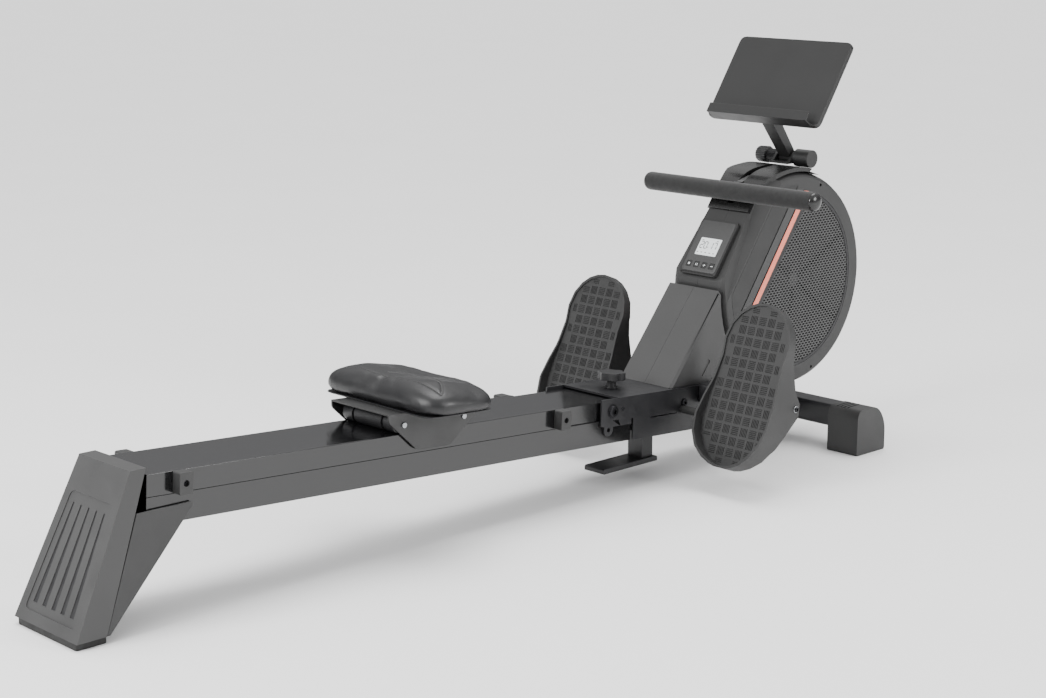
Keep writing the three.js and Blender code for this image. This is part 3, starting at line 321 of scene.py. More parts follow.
def hexagon(radius):
    return [(radius * math.cos(math.pi * k / 3), radius * math.sin(math.pi * k / 3)) for k in range(6)]


# a turned piece: profile [(radius, level)] in mm from axis to axis, about the basis' third axis
def rings(profile, segments, basis):
    points = []
    for radius, level in profile:
        for step in range(segments):
            angle = 2 * math.pi * step / segments
            points.append(basis @ Vector((radius * math.cos(angle) * mm, radius * math.sin(angle) * mm,
                                        level * mm)))
    return meshOf(points, tubeFaces(len(profile), segments))


# a basis from its three axes, at origin
def basisOf(first, second, third, origin=(0, 0, 0)):
    basis = Matrix((first, second, third)).transposed().to_4x4()
    basis.translation = origin
    return basis


# a basis at origin whose first and third axes are given
def axes(origin, first, third):
    third = Vector(third).normalized()
    first = Vector(first).normalized()
    second = third.cross(first)
    return basisOf(first, second, third, origin)


# a basis on the middle plane whose third axis points to one side
def acrossAxes(spot, side=1):
    return axes((spot.x, 0, spot.z), (1, 0, 0), (0, side, 0))


# middle of a node that turns about an axis across the machine, its radius and half its length in mm
def turnedSize(node):
    low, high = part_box(node)
    return (low + high) / 2, (high.z - low.z) / 2 / mm, high.y / mm


# places taken from the frame
joints = {joint["name"]: joint for joint in frame["joints"]}
bodyOf = {node: body for body, members in frame["record"]["behaviour"]["bodies"].items() for node in members}


def fineCopy(node, look, width=1.2, cutters=(), angle=30, segments=3):
    mesh = cleanCopy(node)
    if cutters:
        mesh = carved(mesh, cutters)
    mesh = softened(mesh, width, segments, angle)
    return show(node + "_shape", mesh, bodyOf[node], look, [node])


def jointAt(name):
    return Vector(joints[name]["pos_m"])


# pieces that keep the CAD shape, with rounded edges
plainPieces = {
    "rail_track": ("glossEnamel", 1.6), "rail_tube": ("glossEnamel", 2.5), "base_beam": ("blackPowder",
                                        3.0),
    "stabiliser_tube": ("blackPowder", 1.0), "foot_leg": ("blackPowder", 1.5),
    "centre_foot": ("blackPowder", 1.6),
    "upright_frame": ("blackPowder", 1.0), "pedal_axle": ("shaft", 1.0), "stop_rod": ("rubber", 2.0),
    "flywheel_axle": ("shaft", 1.0), "recoil_spring": ("zinc", 0.8), "flywheel": ("castIron", 1.0),
    "strap_drum": ("blackNylon", 0.8), "magnet_arm": ("zinc", 0.8), "seat_carriage": ("greyPowder", 0.9),
    "seat_pan": ("blackNylon", 0.6), "roller_axle_rear": ("shaft", 0.8), "roller_axle_front": ("shaft",
                                        0.8),
    "foot_plate_left": ("greyPowder", 1.0), "foot_plate_right": ("greyPowder", 1.0),
    "foot_pad": ("rubber", 2.0),
    "pedal_bracket_left": ("blackPowder", 2.0), "pedal_bracket_right": ("blackPowder", 2.0),
    "head_cover_left": ("glossShell", 2.2), "head_cover_right": ("glossShell", 2.2),
    "tablet_arm": ("darkShell", 1.6), "tablet_bracket": ("darkShell", 1.4),
}
for node, (look, width) in plainPieces.items():
    fineCopy(node, look, width)
print("plain pieces made")

# rear foot: moulded cover with a recessed, grooved panel
footPlan = {"recess": 2.0, "groove": 1.6, "panelLow": 22, "panelHigh": 250, "edge": 20, "grooves": 5}


# a basis on the cover's sloping rear face: first axis across, second up the slope, third out of it
def footFace():
    low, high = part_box("foot_cover")
    points = [vertex.co for vertex in frame["nodes"]["foot_cover"].data.vertices]
    foot = min(point.x for point in points)
    top = min(point.x for point in points if point.z > high.z - 2 * mm)
    slope = Vector((top - foot, 0, high.z - low.z)).normalized()
    out = Vector((-slope.z, 0, slope.x))
    basis = axes((foot, 0, low.z), (0, -1, 0), out)
    length = Vector((top - foot, 0, high.z - low.z)).length / mm
    bottomHalf = high.y / mm
    topHalf = max(point.y for point in points if point.z > high.z - 2 * mm) / mm
    return basis, length, bottomHalf, topHalf


faceBasis, faceLength, faceBottom, faceTop = footFace()
upSign = 1 if (faceBasis.to_3x3() @ Vector((0, 1, 0))).z > 0 else -1


def acrossAt(up):
    return faceBottom + (faceTop - faceBottom) * up / faceLength


# the recessed panel with rounded corners, narrowing upwards
def panelOutline(inset):
    low, high = footPlan["panelLow"] + inset, footPlan["panelHigh"] - inset
    corners = [(-acrossAt(low) + footPlan["edge"] + inset, low),
               (acrossAt(low) - footPlan["edge"] - inset, low),
               (acrossAt(high) - footPlan["edge"] - inset, high),
               (-acrossAt(high) + footPlan["edge"] + inset, high)]
    return [(a, upSign * b) for a, b in roundCorners(corners, 12)]


def roundCorners(corners, radius, steps=5):
    result = []
    for index, corner in enumerate(corners):
        here = Vector(corner)
        before = (Vector(corners[index - 1]) - here).normalized() * radius
        after = (Vector(corners[(index + 1) % len(corners)]) - here).normalized() * radius
        for step in range(steps + 1):
            share = step / steps
            point = here + before * (1 - share) ** 2 + after * share ** 2
            result.append((point.x, point.y))
    return result


# the outline of one upright groove, wide at its foot and tapering to its top
def grooveLine(index, inset=0.0):
    share = (index - (footPlan["grooves"] - 1) / 2) / footPlan["grooves"]
    low, high = footPlan["panelLow"] + 16, footPlan["panelHigh"] - 20
    points = []
    for step in range(13):
        up = low + (high - low) * step / 12
        middle = share * 2 * (acrossAt(up) - footPlan["edge"] - 6)
        half = 6.4 - 4.2 * (step / 12) ** 0.8 - inset
        points.append((middle, up, half))
    left = [(middle - half, upSign * up) for middle, up, half in points]
    right = [(middle + half, upSign * up) for middle, up, half in reversed(points)]
    return left + right


cutters = [prism(panelOutline(0), -footPlan["recess"], 4, faceBasis)]
cutters += [prism(grooveLine(index), -footPlan["recess"] - footPlan["groove"], 3, faceBasis)
            for index in range(footPlan["grooves"])]
cutters.append(rings([(3.2, -9), (3.2, 3)], 20, faceBasis @ Matrix.Translation((0, upSign * 112 * mm, 0))))
# the cover in the lighter moulding colour, a painted highlight
fineCopy("foot_cover", "litShell", 2.6, cutters, angle=24)
# dark strips on the groove floors: painted shade in the grooves
depth = footPlan["recess"] + footPlan["groove"]
for index in range(footPlan["grooves"]):
    show(f"grooveShade_{index}", prism(grooveLine(index, 0.5), -depth - 0.1, 0.3 - depth, faceBasis),
         "rail",
         "blackNylon")
print("rear foot made")

# rail: track, lower tube, stops with their bolts
railAlong = Vector(joints["seat_slide"]["axis"])
railUp = Vector((railAlong.z, 0, -railAlong.x)) if railAlong.x < 0 else Vector((-railAlong.z, 0,
                                        railAlong.x))


# a domed bolt head with a hex socket, on a washer
def socketBolt(name, spot, out, body, radius, height, look="blackOxide"):
    basis = axes(spot, railAlong, out)
    head = rings([(radius * 1.35, 0), (radius * 1.35, 0.8), (radius, 0.9), (radius, height * 0.6),
                  (radius * 0.86, height * 0.92), (radius * 0.66, height)], 32, basis)
    head = carved(head, [prism(hexagon(radius * 0.5), height * 0.35, height + 2, basis)])
    return show(name, softened(head, 0.3, 2), body, look)


for side, name in sides:
    for end in ("rear", "front"):
        node = f"{end}_stop_{name}"
        low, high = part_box(node)
        middle = (low + high) / 2
        fineCopy(node, "greyPowder", 2.4)
        spot = Vector((middle.x, side * (abs(middle.y) + 3 * mm), middle.z))
        socketBolt(f"stopBolt_{end}_{name}", spot, (0, side, 0), "rail", 4.6, 4.0)
print("stops made")

# frame plates: slits, notches and the hinge bolt
hinge = jointAt("rail_fold")


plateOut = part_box("main_frame")[1].y
railTopAboveHinge = 23.3


# a point on a frame side plate, from the hinge: along the rail forwards, and up from the rail's top
def onPlate(along, rise, side=-1):
    return hinge - railAlong * along * mm + railUp * (rise + railTopAboveHinge) * mm + Vector((0,
                                        side * plateOut, 0))


plateBasis = basisOf(-railAlong, railUp, (0, -1, 0), hinge + railUp * railTopAboveHinge * mm)
plateMarks = [
    [(62, -46), (68, -46), (70, -99), (64, -99)],
    [(2, -44), (20, -44), (29, -60)],
    [(126, -50), (212, -50), (212, -52.2), (126, -52.2)],
]
cutters = [prism(mark, -plateOut / mm - 5, plateOut / mm + 5, plateBasis) for mark in plateMarks]
fineCopy("main_frame", "blackPowder", 1.3, cutters)
for side in (1, -1):
    socketBolt(f"plateBolt_{side}", onPlate(32.4, -20.6, side), (0, side, 0), "frame", 3.4, 3)
    socketBolt(f"pegBolt_{side}", onPlate(236, -30, side), (0, side, 0), "frame", 7.5, 5)


def hingeBolt():
    reach = plateOut / mm
    for side in (1, -1):
        basis = axes(hinge + Vector((0, side * (reach + 0.3) * mm, 0)), railAlong, (0, side, 0))
        head = rings([(15.5, 0), (15.5, 1.6), (13.5, 1.8), (13.5, 4.2), (11.8, 6.4), (8.6, 7)], 48, basis)
        head = carved(head, [prism(hexagon(6), 3, 9, basis)])
        show(f"hingeBolt_{side}", softened(head, 0.4, 2), "frame", "blackOxide",
             ["pivot_bolt"] if side > 0 else ())


hingeBolt()
print("frame plates made")

# seat cushion: crowned foam under vinyl, with a shallow valley and sewn channels
cushion = {"sew": 1.5, "cap": 9, "pressure": 3.2, "voxel": 5}
seatBase = basisOf(-railAlong, (0, 1, 0), railUp)
seatPoints = [seatBase.inverted() @ vertex.co for vertex in frame["nodes"]["seat_cushion"].data.vertices]
seatMin = Vector([min(point[k] for point in seatPoints) for k in range(3)])
seatMax = Vector([max(point[k] for point in seatPoints) for k in range(3)])
seatMiddle, seatHalf = (seatMin + seatMax) / 2, (seatMax - seatMin) / 2


# top of the cushion as a share of its height, for a from rear to front and b across, both -1 to 1
def seatHeight(a, b):
    rear = 1.0 - 0.10 * max(0.0, a + 0.15) - 0.10 * math.exp(-((a - 0.45) / 0.4) ** 2)
    valley = 0.12 * math.exp(-(b / 0.34) ** 2) * (0.35 + 0.65 * max(0.0, 1 - abs(a - 0.35)))
    wings = 0.05 * math.exp(-((abs(b) - 0.52) / 0.26) ** 2) * max(0.0, 1 - abs(a + 0.3))
    return rear - valley + wings


# a rounded slab whose crown and rim follow the seat's outline
def cushionForm(shrink):
    points = []

    def plan(angle):
        power = 2 / 4.6
        c, s = math.cos(angle), math.sin(angle)
        return (math.copysign(abs(c) ** power, c), math.copysign(abs(s) ** power, s))

    around = 96
    levels = [(0.90, 0.0), (0.965, 0.06), (0.995, 0.2), (1.0, 0.38), (0.985, 0.56), (0.95, 0.74), (0.88,
                                        0.88),
              (0.78, 0.96), (0.62, 1.0), (0.42, 1.0), (0.2, 1.0)]
    for reach, rise in levels:
        for step in range(around):
            c, s = plan(2 * math.pi * step / around)
            a, b = c * reach, s * reach
            tall = seatHeight(a, b)
            top = rise * tall if rise > 0.5 else rise
            points.append(seatBase @ Vector((seatMiddle.x + a * (seatHalf.x - shrink * mm),
                                             seatMiddle.y + b * (seatHalf.y - shrink * mm),
                                             seatMin.z + (top * 0.97 + 0.005) * 2 * seatHalf.z)))
    return meshOf(points, tubeFaces(len(levels), around))


# the form inflated as cloth: remeshed, run for 20 frames under pressure, its movement capped
def puffed(mesh, settings):
    mesh = through(mesh, ("REMESH", {"mode": "VOXEL", "voxel_size": settings["voxel"] * mm}))
    work = bpy.data.objects.new("puff", mesh)
    scene.collection.objects.link(work)
    start = [vertex.co.copy() for vertex in work.data.vertices]
    cloth = work.modifiers.new("cloth", "CLOTH")
    cloth.settings.use_pressure = True
    cloth.settings.uniform_pressure_force = settings["pressure"]
    cloth.settings.effector_weights.gravity = 0
    cloth.settings.quality = 5
    for step in range(1, 21):
        scene.frame_set(step)
    graph = bpy.context.evaluated_depsgraph_get()
    work.data = bpy.data.meshes.new_from_object(work.evaluated_get(graph), depsgraph=graph)
    work.modifiers.clear()
    scene.frame_set(1)
    for vertex, first in zip(work.data.vertices, start):
        move = vertex.co - first
        if move.length > settings["cap"] * mm:
            vertex.co = first + move.normalized() * settings["cap"] * mm
    inverse = seatBase.inverted()
    for vertex in work.data.vertices:
        point = inverse @ vertex.co
        point.z = max(point.z, seatMin.z)
        vertex.co = seatBase @ point
    smoothing = through(work.data, ("SMOOTH", {"factor": 0.5, "iterations": 4}),
                        ("SUBSURF", {"levels": 1, "render_levels": 1}))
    bpy.data.objects.remove(work)
    return smoothing


# the point of the cushion's top at shares a (rear to front) and b (across)
def ontoTop(tree, a, b):
    start = seatBase @ Vector((seatMiddle.x + a * seatHalf.x, seatMiddle.y + b * seatHalf.y, seatMax.z + 0.1))
    hit, normal, _, _ = tree.ray_cast(start, -railUp)
    return hit, normal


# sewn channels pressed into the top along lines of shares
def sewChannels(mesh, lines, width, depth):
    tree = BVHTree.FromPolygons([vertex.co for vertex in mesh.vertices],
                                [p.vertices for p in mesh.polygons])
    paths = []
    for line in lines:
        path = []
        for (a0, b0), (a1, b1) in zip(line, line[1:]):
            for step in range(24):
                share = step / 24
                hit, normal = ontoTop(tree, a0 + (a1 - a0) * share, b0 + (b1 - b0) * share)
                if hit:
                    path.append((hit, normal))
        paths.append(path)
    marks = [hit for path in paths for hit, _ in path]
    for vertex in mesh.vertices:
        near = min((vertex.co - mark).length for mark in marks)
        if near < 3 * width * mm:
            vertex.co -= railUp * depth * mm * math.exp(-(near / (width * mm)) ** 2)
    return paths


# a round thread along a path, sunk a little into the surface
def cord(path, radius, sink):
    points, count = [], 8
    for index, (spot, normal) in enumerate(path):
        ahead = (path[min(index + 1, len(path) - 1)][0] - path[max(index - 1, 0)][0]).normalized()
        up = normal.normalized()
        beside = ahead.cross(up).normalized()
        for k in range(count):
            angle = 2 * math.pi * k / count
            points.append(spot + beside * math.cos(angle) * radius * mm
                          + up * (math.sin(angle) * radius - sink) * mm)
    return meshOf(points, tubeFaces(len(path), count))


# a smooth line of shares through control points (quadratic)
def bend(points, steps=10):
    (a0, b0), (a1, b1), (a2, b2) = points
    shares = [k / steps for k in range(steps + 1)]
    return [((1 - t) ** 2 * a0 + 2 * t * (1 - t) * a1 + t * t * a2,
             (1 - t) ** 2 * b0 + 2 * t * (1 - t) * b1 + t * t * b2) for t in shares]


seatLines = [
    [(-0.52, 0.80), (-0.56, 0.3), (-0.56, -0.3), (-0.52, -0.84)],
    bend([(-0.30, 0.16), (0.05, 0.10), (0.12, -0.22)]),
    bend([(0.12, -0.22), (0.2, -0.62), (0.55, -0.66)]),
    bend([(-0.52, -0.84), (-0.2, -0.72), (0.12, -0.22)]),
]
pad = puffed(cushionForm(3.5), cushion)
print("seat cushion puffed")
channelPaths = sewChannels(pad, seatLines, 3.2, 2.2)
smooth(pad, 80)
cushionPiece = show("seatCushion", pad, "seat", "vinyl", ["seat_cushion"])
for index, path in enumerate(channelPaths):
    seam = cord([(spot - railUp * cushion["sew"] * mm, normal) for spot, normal in path], 0.8, 0.2)
    smooth(seam, 80)
    show(f"seatSeam_{index}", seam, "seat", "webbing")
print("seat made")

# foot plates: moulded shell, basket-weave tread, screws at the pedal axle
tread = {"block": 25.0, "lines": 5, "barWide": 1.9, "barLong": 19.0, "barHigh": 1.1, "margin": 11}


pedalPlan = {"lean": 69.3, "heelBelow": 166.6, "treadAhead": 67.4, "length": 378, "heel": 104,
             "waist": 87, "toe": 91}


# first axis up the tread from the heel, second across, third out of the tread
def pedalBasis(side):
    axle = jointAt(f"{side}_pedal_tilt")
    lean = math.radians(pedalPlan["lean"])
    up = Vector((math.cos(lean), 0, math.sin(lean)))
    out = Vector((-math.sin(lean), 0, math.cos(lean)))
    origin = axle - up * pedalPlan["heelBelow"] * mm + out * pedalPlan["treadAhead"] * mm
    return axes(origin, up, out)


# half the tread's width at a height above the heel, as in the CAD
def pedalHalf(up):
    length, heel, waist, toe = (pedalPlan[name] for name in ("length", "heel", "waist", "toe"))
    if up < heel:
        return math.sqrt(max(0.0, heel ** 2 - 0.98 * (heel - up) ** 2))
    if up > length - toe:
        return math.sqrt(max(0.0, toe ** 2 - (up - length + toe) ** 2))
    turn = length * 0.66
    if up < turn:
        share = (up - heel) / (turn - heel)
        return heel + (waist - heel) * share * share * (3 - 2 * share)
    return waist + (toe - waist) * (up - turn) / (length - toe - turn)


# one tread line: a low bar with a rounded crest
def ridge(basis, up, across, along, high):
    long, wide = tread["barLong"] / 2, tread["barWide"] / 2
    half = (long, wide) if along else (wide, long)
    crest = (half[0] - 0.6, half[1] - 0.6)
    low = [(up + a * half[0], across + b * half[1], 0) for a, b in ((-1, -1), (1, -1), (1, 1), (-1, 1))]
    top = [(up + a * crest[0], across + b * crest[1], high) for a, b in ((-1, -1), (1, -1), (1, 1), (-1,
                                        1))]
    points = [basis @ (Vector(point) * mm) for point in low + top]
    return points, [[4, 5, 6, 7], [0, 1, 5, 4], [1, 2, 6, 5], [2, 3, 7, 6], [3, 0, 4, 7], [3, 2, 1, 0]]


def weave(basis):
    points, faces = [], []
    length = pedalPlan["length"]
    rows = int(length / tread["block"]) + 1
    for row in range(rows):
        for column in range(-4, 5):
            middleUp = (row + 0.5) * tread["block"]
            middleAcross = column * tread["block"]
            along = (row + column) % 2 == 0
            for line in range(tread["lines"]):
                offset = (line - (tread["lines"] - 1) / 2) * 4.0
                up = middleUp + (0 if along else offset)
                across = middleAcross + (offset if along else 0)
                reachUp = up + math.copysign(tread["barLong"] / 2 if along else 1, up - length / 2)
                reachAcross = abs(across) + (1 if along else tread["barLong"] / 2)
                if not 8 < reachUp < length - 8 or reachAcross > pedalHalf(reachUp) - tread["margin"]:
                    continue
                bar, sides = ridge(basis, up, across, along, tread["barHigh"])
                faces += [[index + len(points) for index in face] for face in sides]
                points += bar
    return meshOf(points, faces)


for side, sign in (("left", 1), ("right", -1)):
    body = f"pedal_{side}"
    basis = pedalBasis(side)
    show(body + "_shape", softened(cleanCopy(body), 1.2), body, "greyShell", [body])
    show(f"treadLines_{side}", weave(basis), body, "treadLine")
    for end in (1, -1):
        spot = jointAt(f"{side}_pedal_tilt")
        reach = pedalHalf(pedalPlan["heelBelow"]) * mm
        socketBolt(f"pedalScrew_{side}_{end}", Vector((spot.x, sign * abs(spot.y) + end * reach, spot.z)),
                   (0, end, 0), body, 6.0, 4.5)
print("foot plates made")

# flywheel housing: shells, perforated side plates, trim
drum = jointAt("flywheel_spin")
drum = Vector((drum.x, 0, drum.z))
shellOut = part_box("housing_left")[1].y / mm
frontLean = math.radians(54.3)
frontUp = Vector((math.cos(frontLean), 0, math.sin(frontLean)))
frontOut = Vector((-math.sin(frontLean), 0, math.cos(frontLean)))
grilleRadius, grilleReach = 211.7, 78.7


# on the housing's side: first axis up the front face, second towards the front, third outwards
def sideBasis(side):
    return basisOf(frontUp, frontOut, (0, side, 0), drum)


# the part of a disc between two distances from its middle, in side coordinates
def chordPatch(near, far, radius, trim=0.0, steps=8):
    distances = [near + (far - near) * step / steps for step in range(steps + 1)]
    ends = [math.sqrt(max(0.0, radius ** 2 - distance ** 2)) - trim for distance in distances]
    up = list(zip(ends, distances))
    return up + [(-end, distance) for end, distance in reversed(up)]


# a punched plate: staggered six-sided holes over the whole opening, as real openings
def meshPlate(side, pitchX=12.0, pitchZ=8.0, wire=1.5):
    points, index, faces = [], {}, []

    def corner(a, b, level):
        key = (round(a, 2), round(b, 2), level)
        if key not in index:
            index[key] = len(points)
            points.append(drum + Vector((a * mm, side * (shellOut - 1.2 + level) * mm, b * mm)))
        return index[key]

    rows = int(2 * grilleRadius / pitchZ) + 12
    columns = int(2 * grilleRadius / pitchX) + 2
    for row in range(-rows // 2 - 6, rows // 2 + 7):
        for column in range(-columns // 2, columns // 2 + 1):
            a = (column + (0.5 if row % 2 else 0)) * pitchX
            b = row * pitchZ * 0.75
            ahead = frontOut.x * a + frontOut.z * b
            if math.hypot(a, b) > grilleRadius - 4 or ahead > grilleReach - 2:
                continue
            cell = [(a + pitchX / 2 * s, b + pitchZ / 4 * t) for s, t in
                    ((1, -1), (1, 1), (0, 2), (-1, 1), (-1, -1), (0, -2))]
            hole = [(a + (x - a) * (1 - 2 * wire / pitchX),
                     b + (z - b) * (1 - 2 * wire / pitchZ)) for x, z in cell]
            for k in range(6):
                following = (k + 1) % 6
                faces.append([corner(*cell[k], 0), corner(*cell[following], 0),
                              corner(*hole[following], 0), corner(*hole[k], 0)])
                faces.append([corner(*hole[k], 0), corner(*hole[following], 0),
                              corner(*hole[following], -1.2), corner(*hole[k], -1.2)])
    mesh = bpy.data.meshes.new("mesh")
    mesh.from_pydata([tuple(point) for point in points], [], faces)
    return mesh


# the grille's outline: an arc closed by a straight edge towards the front
def opening(radius, reach):
    half = math.acos(reach / radius)
    result = []
    for step in range(73):
        angle = math.pi / 2 + half + (2 * math.pi - 2 * half) * step / 72
        result.append((radius * math.cos(angle), radius * math.sin(angle)))
    return result


# a band round the grille opening, following its arc and its straight edge
def ringBand(side, inner, outer, level, rise):
    basis = sideBasis(side)
    outside = opening(grilleRadius + outer, grilleReach + outer)
    inside = opening(grilleRadius - inner, grilleReach - inner)
    points, faces = [], []
    for height in (level, level + rise):
        for path in (outside, inside):
            points += [basis @ Vector((a * mm, b * mm, height * mm)) for a, b in path]
    count = len(outside)
    for k in range(count):
        following = (k + 1) % count
        faces += [[k, following, count + following, count + k],
                  [2 * count + k, 3 * count + k, 3 * count + following, 2 * count + following],
                  [k, 2 * count + k, 2 * count + following, following],
                  [count + k, count + following, 3 * count + following, 3 * count + k]]
    return meshOf(points, faces)


# each trim piece: its patch (near, far, radius, trim) in mm, how far it stands proud, its edge and its finish
trimPieces = [("coralStrip", (84.5, 99.5, 215, 3), 0.7, 0.35, "coralFilm"),
              # the trim bar in the lighter moulding colour, a painted highlight
              ("trimBar", (104.5, 126, 219, 3), 1.0, 0.5, "litShell"),
              ("sidePanel", (129.5, 180, 230, 4), 0.5, 0.35, "darkShell")]
for side, name in sides:
    basis = sideBasis(side)
    reach = shellOut
    cuts = [prism(chordPatch(100, 104, 217, 3), reach - 1.6, reach + 4, basis),
            prism(chordPatch(126.5, 129, 226, 2), reach - 1.2, reach + 4, basis)]
    for spotAngle in (67.5, -71.5):
        spot = Matrix.Translation(Vector((math.cos(math.radians(spotAngle)) * 236 * mm, 0,
                                          math.sin(math.radians(spotAngle)) * 236 * mm)) + drum)
        cuts.append(rings([(3.6, reach - 6), (3.6, reach + 6)], 20,
                          spot @ axes((0, 0, 0), (1, 0, 0), (0, side, 0))))
    fineCopy(f"housing_{name}", "greyShell", 1.5, cuts, angle=34)
    mesh = meshPlate(side)
    if side > 0:
        mesh.flip_normals()
    show(f"meshPlate_{name}", mesh, "frame", "meshCoat", [f"grille_{name}"])
    band = softened(ringBand(side, 7.0, -0.4, reach - 1.7, 1.5), 0.4, 2)
    show(f"grilleBand_{name}", band, "frame", "blackNylon")
    # a black sheet just behind the holes: painted shade
    shadeSheet = prism(opening(grilleRadius - 0.5, grilleReach - 0.5), reach - 2.9, reach - 2.6, basis)
    show(f"meshShadeSheet_{name}", shadeSheet, "frame", "shadeSheet")
    for piece, patch, proud, soft, look in trimPieces:
        strip = prism(chordPatch(*patch), reach - 0.4, reach + proud, basis)
        show(f"{piece}_{name}", softened(strip, soft, 2), "frame", look)
print("housing made")

# lower shroud: the slots in its sides
shroudSlots = [(0.5555, 0.2365, 44, 9), (0.575, 0.202, 20, 7)]  # place in metres, length and width in mm
slotLean = math.radians(51)
for side, name in sides:
    slots = []
    for x, z, along, wide in shroudSlots:
        direction = Vector((math.cos(slotLean), 0, math.sin(slotLean)))
        out = Vector((-direction.z, 0, direction.x))
        spot = basisOf(direction, out, (0, side, 0), (x, 0, z))
        shape = roundCorners(oblong(-along / 2, along / 2, -wide / 2, wide / 2), wide * 0.45)
        slots.append(prism(shape, shellOut - 2, shellOut + 4, spot))
    # the shroud in the lighter moulding colour, a painted highlight
    fineCopy(f"lower_shroud_{name}", "litShell", 1.8, slots, angle=26)
print("lower shroud made")

# console: pale window with segments, keys with printed signs
# a basis on the sloping front face at a CAD node's middle: up the face, across, and out
def facing(node):
    points = [vertex.co for vertex in frame["nodes"][node].data.vertices]
    ups = [point.dot(frontUp) for point in points]
    outs = [point.dot(frontOut) for point in points]
    across = [point.y for point in points]
    middle = frontUp * (min(ups) + max(ups)) / 2 + frontOut * max(outs)
    basis = basisOf(frontUp, (0, 1, 0), frontOut, (middle.x, (min(across) + max(across)) / 2, middle.z))
    return basis, (max(ups) - min(ups)) / mm, (max(across) - min(across)) / mm


# an oblong round the middle, larger all round by margin, with rounded corners
def grown(tall, wide, margin, radius):
    return roundCorners(oblong(-tall / 2 - margin, tall / 2 + margin, -wide / 2 - margin,
                               wide / 2 + margin), radius)


consoleBasis, consoleTall, consoleWide = facing("console_body")
lip = prism(roundCorners(oblong(-consoleTall / 2 - 1.2, -consoleTall / 2 + 5, -consoleWide / 2 + 6,
                                consoleWide / 2 - 6), 2), -1.6, 3, consoleBasis)
fineCopy("console_body", "darkShell", 2.2, [lip])
plate = oblong(-consoleTall / 2 + 7, consoleTall / 2 - 5, -consoleWide / 2 + 5, consoleWide / 2 - 5)
faceplate = softened(prism(roundCorners(plate, 7), -0.5, 0.7, consoleBasis), 0.4, 2)
screenBasis, screenTall, screenWide = facing("console_screen")
# the window's face stands level with the body round it
rise = (consoleBasis.translation - screenBasis.translation).dot(frontOut)
screenBasis.translation += frontOut * (rise + 0.25 * mm)
openings = [prism(grown(screenTall, screenWide, -0.5, 2), -4, 6, screenBasis)]
for number in range(1, 5):
    keyBasis, keyTall, keyWide = facing(f"console_button_{number}")
    openings.append(prism(grown(keyTall, keyWide, 0.6, 2.4), -6, 5, keyBasis))
# the face plate in the lighter moulding colour, a painted highlight
show("consolePlate", carved(faceplate, openings), "frame", "litShell")
window = prism(grown(screenTall, screenWide, 0, 1.5), -0.6, 0, screenBasis)
show("displayWindow", softened(window, 0.2, 2), "frame", "lcdGlass", ["console_screen"])

inkDepth = (-0.05, 0.2)
segments = {"0": "abcdef", "1": "bc", "2": "abged", "7": "abc"}
strokes = {"a": (1, 0.5, 1), "g": (0.5, 0.5, 1), "d": (0, 0.5, 1), "f": (0.75, 1, 0), "b": (0.75, 0, 0),
           "e": (0.25, 1, 0), "c": (0.25, 0, 0)}


# a seven-segment digit as thin printed bars; across grows to the reader's left
def digit(character, up, across, tall, wide, thick, basis):
    result = []
    for name in segments[character]:
        rise, along, flat = strokes[name]
        a = up + (rise - 0.5) * tall
        b = across + (along - 0.5) * wide
        half = (thick / 2, wide * 0.38) if flat else (tall * 0.2, thick / 2)
        result.append(prism(oblong(a - half[0], a + half[0], b - half[1], b + half[1]), *inkDepth, basis))
    return result


ink = []
for character, across in (("2", 22), ("0", 10), ("1", -6), ("7", -18)):
    ink += digit(character, 4, across, 17, 8.5, 1.7, screenBasis)
ink.append(prism(oblong(-2, 0, 1.2, 3), *inkDepth, screenBasis))
for across in (26, 14, 2, -10, -22):
    ink.append(prism(oblong(-16, -14.4, across - 2.4, across + 2.4), *inkDepth, screenBasis))
for across in (24, -20):
    ink.append(prism(oblong(16, 17.2, across - 3, across + 3), *inkDepth, screenBasis))
show("displaySegments", merged(ink), "frame", "lcdInk")

signs = {1: [(-0.8, 0.8, -3.4, 3.4)], 2: [(-0.8, 0.8, -3.4, 3.4), (-3, 3, -0.8, 0.8)],
         3: [(-3, 3, 1.6, 3.0), (-3, 3, -3.0, -1.6)], 4: [(-2.6, 2.6, -2.6, 2.6)]}
for number, bars in signs.items():
    node = f"console_button_{number}"
    keyBasis, keyTall, keyWide = facing(node)
    fineCopy(node, "darkShell", 0.9)
    marks = [prism(oblong(*bar), -0.05, 0.15, keyBasis) for bar in bars]
    show(f"keySign_{number}", merged(marks), f"button_{number}", "padPrint")
print("console made")

# tablet holder
fineCopy("tablet_tray", "darkShell", 2.4, angle=40)

# knobs
fineCopy("fold_knob", "blackNylon", 2.2, angle=45)


# the clamp knob: fluted grip with a domed end, on its toothed collar
def clampParts():
    low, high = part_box("clamp_knob")
    axle = jointAt("clamp_knob_turn")
    basis = acrossAxes(axle)
    radius = (high.z - low.z) / 2 / mm
    start, end = low.y / mm, high.y / mm
    grip = start + 30
    profile = [(radius * 0.72, grip), (radius - 1.2, grip + 1.2), (radius, grip + 3), (radius * 0.95,
                                        end - 5),
               (radius * 0.86, end - 1.5), (radius * 0.6, end - 0.3), (radius * 0.3, end)]
    points, count = [], 108
    for row, (r, level) in enumerate(profile):
        for step in range(count):
            angle = 2 * math.pi * step / count
            flute = 1.3 * max(0.0, math.cos(18 * angle)) ** 0.5 if 1 <= row <= 4 else 0
            points.append(basis @ Vector(((r - flute) * math.cos(angle) * mm,
                                        (r - flute) * math.sin(angle) * mm, level * mm)))
    knob = meshOf(points, tubeFaces(len(profile), count))
    smooth(knob, 40)
    show("clampGrip", knob, "clamp_knob", "blackNylon", ["clamp_knob"])
    collar = []
    for step in range(40):
        angle = 2 * math.pi * step / 40
        r = 15 if step % 2 else 12.6
        collar.append((r * math.cos(angle), r * math.sin(angle)))
    show("clampCollar", softened(prism(collar, start, grip + 0.5, basis), 0.3, 2), "clamp_knob",
         "blackNylon")


clampParts()
print("knobs made")

